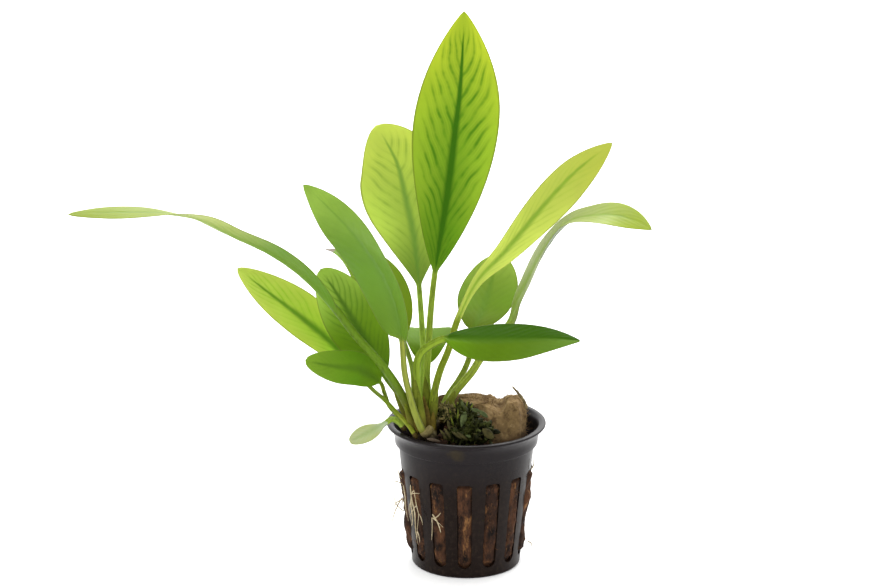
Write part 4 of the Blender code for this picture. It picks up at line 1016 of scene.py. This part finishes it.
def makeMoss(seed=21):
    # dark shells in the form of the clump, a painted shade between the lobes, covered by overlapping lobes
    # that lie along it and by short needles; the lobes of the last lump and of the others' upper left are dry
    # and tan
    pick = np.random.default_rng(seed)
    m = mossSize
    each = m["lobes"] + m["needles"]
    v, u = np.meshgrid(np.linspace(-math.pi / 2, math.pi / 2, m["rings"]),
                       math.tau * np.arange(m["around"]) / m["around"], indexing="ij")
    ball = np.stack([np.cos(v) * np.cos(u), np.cos(v) * np.sin(u), np.sin(v)], -1)
    shells, outs, feet = [], [], []
    for centre, radii in np.array(m["lumps"]):
        shell = centre + ball * radii * m["shell"]
        shell += ball * 0.6 * roughNoise(shell, 1.6)[..., None]
        shells.append((shell, gridFaces(m["rings"], m["around"], loopColumns=True)))
        out = unit(pick.normal(size=(2 * each, 3)))
        out = out[out[:, 2] > -0.4][:each]
        outs.append(out)
        feet.append(centre + out * radii * pick.uniform(0.66, 0.86, (len(out), 1)))
    # painted shade: the dark shells stand for the shade between the lobes
    addPiece("mossShadeCore", joined(*shells), barkMaterial("mossPaintedShade"), ["moss_clump"])

    outs, feet = np.concatenate(outs), np.concatenate(feet)
    along = unit(np.cross(outs, pick.normal(size=outs.shape)))
    isLobe = pick.random(len(outs)) < m["lobes"] / each
    few, many = np.flatnonzero(isLobe), np.flatnonzero(~isLobe)
    atLeft = (feet[few, 0] < m["tanLeftOf"]) & (feet[few, 2] > m["tanAbove"])
    isTan = atLeft | (few >= (len(m["lumps"]) - 1) * each)
    green, tan = barkMaterial("mossGreen"), barkMaterial("mossDry")
    for name, chosen, share, skin in (("mossLobes", few[~isTan], 1.0, green),
                                      ("mossTan", few[isTan], m["tanShare"], tan)):
        count = len(chosen)
        lengths, widths = share * pick.uniform(1.8, 4.4, count), share * pick.uniform(0.8, 2.0, count)
        ways = along[chosen] + outs[chosen] * 0.45 + [0, 0, 0.3]
        lobes = strands(feet[chosen], ways, lengths, widths, seed, flat=0.14, bend=0.45, stations=9,
                        sides=6, belly=0.6, faces=outs[chosen] + pick.normal(size=(count, 3)) * 0.6)
        addPiece(name, lobes, skin)
    lengths, widths = pick.uniform(0.9, 2.0, len(many)), pick.uniform(0.25, 0.55, len(many))
    needles = strands(feet[many], outs[many] + along[many] * 0.7, lengths, widths, seed + 1,
                      flat=0.3, bend=0.6)
    addPiece("mossNeedles", needles, barkMaterial("mossDeep"))
    for name in ("mossTips", "mossTongues"):
        addBits(name, **mossBits[name])

    # a fringe of tan tufts along the clump's upper left edge
    count = m["fringe"]
    feet = np.array(m["fringeAt"]) + pick.uniform(-1, 1, (count, 3)) * m["fringeReach"]
    ways = pick.normal(size=(count, 3)) * 0.5 + [0, 0.1, 0.9]
    lengths, widths = pick.uniform(0.8, 2.0, count), pick.uniform(0.35, 0.8, count)
    addPiece("mossFringe", strands(feet, ways, lengths, widths, seed + 2, flat=0.3, bend=0.5), tan)
    addBits("mossScraps", **mossBits["mossScraps"])


# routes over the pot's wall, as (angle in degrees from the front, height)
rootRuns = {
    "root_long": [[(-54, 32), (-54.5, 27), (-52, 22), (-53, 16), (-52, 10)],
                  [(-54.3, 27.5), (-56.5, 24), (-56, 20), (-59.5, 16)]],
    "root_crossing": [[(-31, 23.5), (-29, 22.4), (-26, 20.5), (-23.5, 17)]],
    "root_side": [[(-68, 30), (-66.5, 26), (-68, 21.5), (-65, 17)]]}
# hair roots over them, in the same terms
hairRuns = [[(-49.5, 30.7), (-48.3, 25.4), (-46.6, 21.9), (-49.3, 17.2), (-52.6, 11.6)],
            [(-55, 28.4), (-49, 29.4), (-42, 30)], [(-48.3, 25), (-54, 22.6), (-61, 19.2)],
            [(-49.3, 30.4), (-53, 29), (-55.5, 26.8)], [(-47, 22.4), (-44, 21.2), (-42.5, 18.4)],
            [(-50.5, 15.4), (-48.4, 13.2), (-48.8, 11)], [(-31.5, 22.2), (-27.5, 21.3), (-20.8, 19.2)],
            [(-31.5, 22.4), (-31.9, 18.1), (-33.6, 13.6)], [(-30, 22), (-26.5, 22.8), (-22.5, 24.6)],
            [(-72, 27.6), (-76, 24), (-74, 19.6)], [(-76, 25), (-70, 23), (-66, 23.4)],
            [(-57, 25), (-60.5, 21.5), (-58.5, 17.5)]]
# and hairs that stand away from the wall, in (x, y, z)
looseHairs = [[(-21.5, -7.5, 25.4), (-24.0, -7.9, 20.6), (-25.4, -8.2, 15.2)],
              [(-21.4, -7.5, 29.8), (-23.8, -7.4, 30.9), (-25.6, -7.2, 30.4)],
              [(-21.0, -8, 20.4), (-23.6, -8.2, 22.8), (-24.4, -8, 26.4)],
              [(-21.6, -7, 24.2), (-23.4, -7.4, 23.4), (-24.6, -7.2, 21.4)],
              [(-21.8, -7, 31.6), (-22.8, -7.2, 33.6), (-22.6, -7.4, 35.6)],
              [(21.6, -6, 34.5), (22.7, -5.8, 36), (22.6, -5.6, 38.4)],
              [(20.8, -8, 9.4), (22, -8, 8.8), (22.4, -8.1, 7.4)]]
# radii along them, and how far outside the wall's face they lie
rootSize = dict(root=[0.27, 0.24, 0.1], rootClear=1.3, hair=[0.17, 0.14, 0.05], hairClear=1.4,
                loose=[0.22, 0.2, 0.1])


def besideWall(marks, clearance):
    # points just outside the wall from pairs of (angle, height)
    angle, height = np.array(marks, float).T
    return aroundAxis(potOutside(height) + clearance, np.radians(angle), height)


def makeRoots():
    cream, r = barkMaterial("rootCream"), rootSize
    for node, runs in rootRuns.items():
        tubes = [tube(besideWall(marks, r["rootClear"]), r["root"], 44, 8, 0.07, 0.8) for marks in runs]
        addPiece(pieceName(node), joined(*tubes), cream, [node])
    hairs = [tube(besideWall(marks, r["hairClear"]), r["hair"], 30, 6, 0.04, 0.8) for marks in hairRuns]
    hairs += [tube(points, r["loose"], 24, 6) for points in looseHairs]
    addPiece("hairRoots", joined(*hairs), cream)


deadStalk = dict(route=[(20, -6, 56), (20, -6, 57.4), (19, -5.5, 59.3), (17, -5, 62), (15, -4.5, 64)],
                 radii=[0.6, 0.5, 0.5, 0.42, 0.25], stations=36, sides=10, roughness=0.12, grain=0.7)


def makeDeadStalk():
    addPiece("deadStalk", tube(**deadStalk), barkMaterial("dryStalk"), ["dead_stalk"])


makeRhizome()
makeMoss()
makeRoots()
makeDeadStalk()
print("stem, moss, roots and dry stalk made")


# Floor, light and camera, with lengths in metres
studio = dict(halfFloor=4.0, paper=0.93, aim=(0, 0, 0.1), dimmest=0.38, brightest=2.1, lights=dict(
    backLight=dict(spot=(0.3, 1.0, 1.1), size=1.2, power=18),
    frontLight=dict(spot=(-0.7, -1.1, 1.1), size=1.0, power=10)))
# at the photo's angle in degrees and with the sensor in millimetres, framed so that the pot's rim is 158
# pixels wide of 880
cameraSetting = dict(place=(-0.0089, -0.959, 0.3777), down=16.44, focalPixels=2990, imageWidth=880,
                     sensor=36.0)


def makeStage():
    s = studio["halfFloor"]
    mesh = bpy.data.meshes.new("floor")
    mesh.from_pydata([(-s, -s, 0), (s, -s, 0), (s, s, 0), (-s, s, 0)], [], [(0, 1, 2, 3)])
    material, _, shader, _ = newMaterial("floorPaper")
    shader.inputs["Base Color"].default_value = (*[studio["paper"]] * 3, 1)
    shader.inputs["Roughness"].default_value = 0.9
    shader.inputs["Specular IOR Level"].default_value = 0.1
    mesh.materials.append(material)
    floor = newObject("floor", mesh)


def makeWorld():
    # a bright backdrop and ceiling and a dimmer room in front light the plant; the camera sees plain white
    world = bpy.data.worlds.new("studio")
    world.use_nodes = True
    tree = world.node_tree
    around = tree.nodes.new("ShaderNodeTexCoord").outputs["Generated"]
    way = addNode(tree, "ShaderNodeSeparateXYZ", Vector=around)
    tilt = maths(tree, "ADD", times(tree, way.outputs["Y"], 0.8), times(tree, way.outputs["Z"], 0.6))
    room = fade(tree, tilt, -0.6, 0.8, studio["dimmest"], studio["brightest"])
    seen = tree.nodes.new("ShaderNodeLightPath").outputs["Is Camera Ray"]
    strength = maths(tree, "ADD", times(tree, maths(tree, "SUBTRACT", 1.0, seen), room), seen)
    tree.nodes["Background"].inputs["Color"].default_value = (1, 1, 1, 1)
    tree.links.new(strength, tree.nodes["Background"].inputs["Strength"])
    bpy.context.scene.world = world
    bpy.context.scene.view_settings.view_transform = "Standard"


def addLight(name, spot, size, power):
    # a round lamp that looks at the middle of the plant
    lamp = bpy.data.lights.new(name, "AREA")
    lamp.shape = "DISK"
    lamp.size = size
    lamp.energy = power
    light = newObject(name, lamp)
    light.location = spot
    x, y, z = np.subtract(studio["aim"], spot)
    light.rotation_euler = (math.atan2(math.hypot(x, y), -z), 0, math.atan2(y, x) - math.pi / 2)


def makeCamera():
    c = cameraSetting
    data = bpy.data.cameras.new("camera")
    data.sensor_width = c["sensor"]
    data.lens = c["focalPixels"] / c["imageWidth"] * c["sensor"]
    camera = newObject("camera", data)
    camera.location = c["place"]
    camera.rotation_euler = (math.radians(90 - c["down"]), 0, 0)
    bpy.context.scene.camera = camera


makeStage()
makeWorld()
for name, lamp in studio["lights"].items():
    addLight(name, **lamp)
makeCamera()
print("stage, lights and camera made")
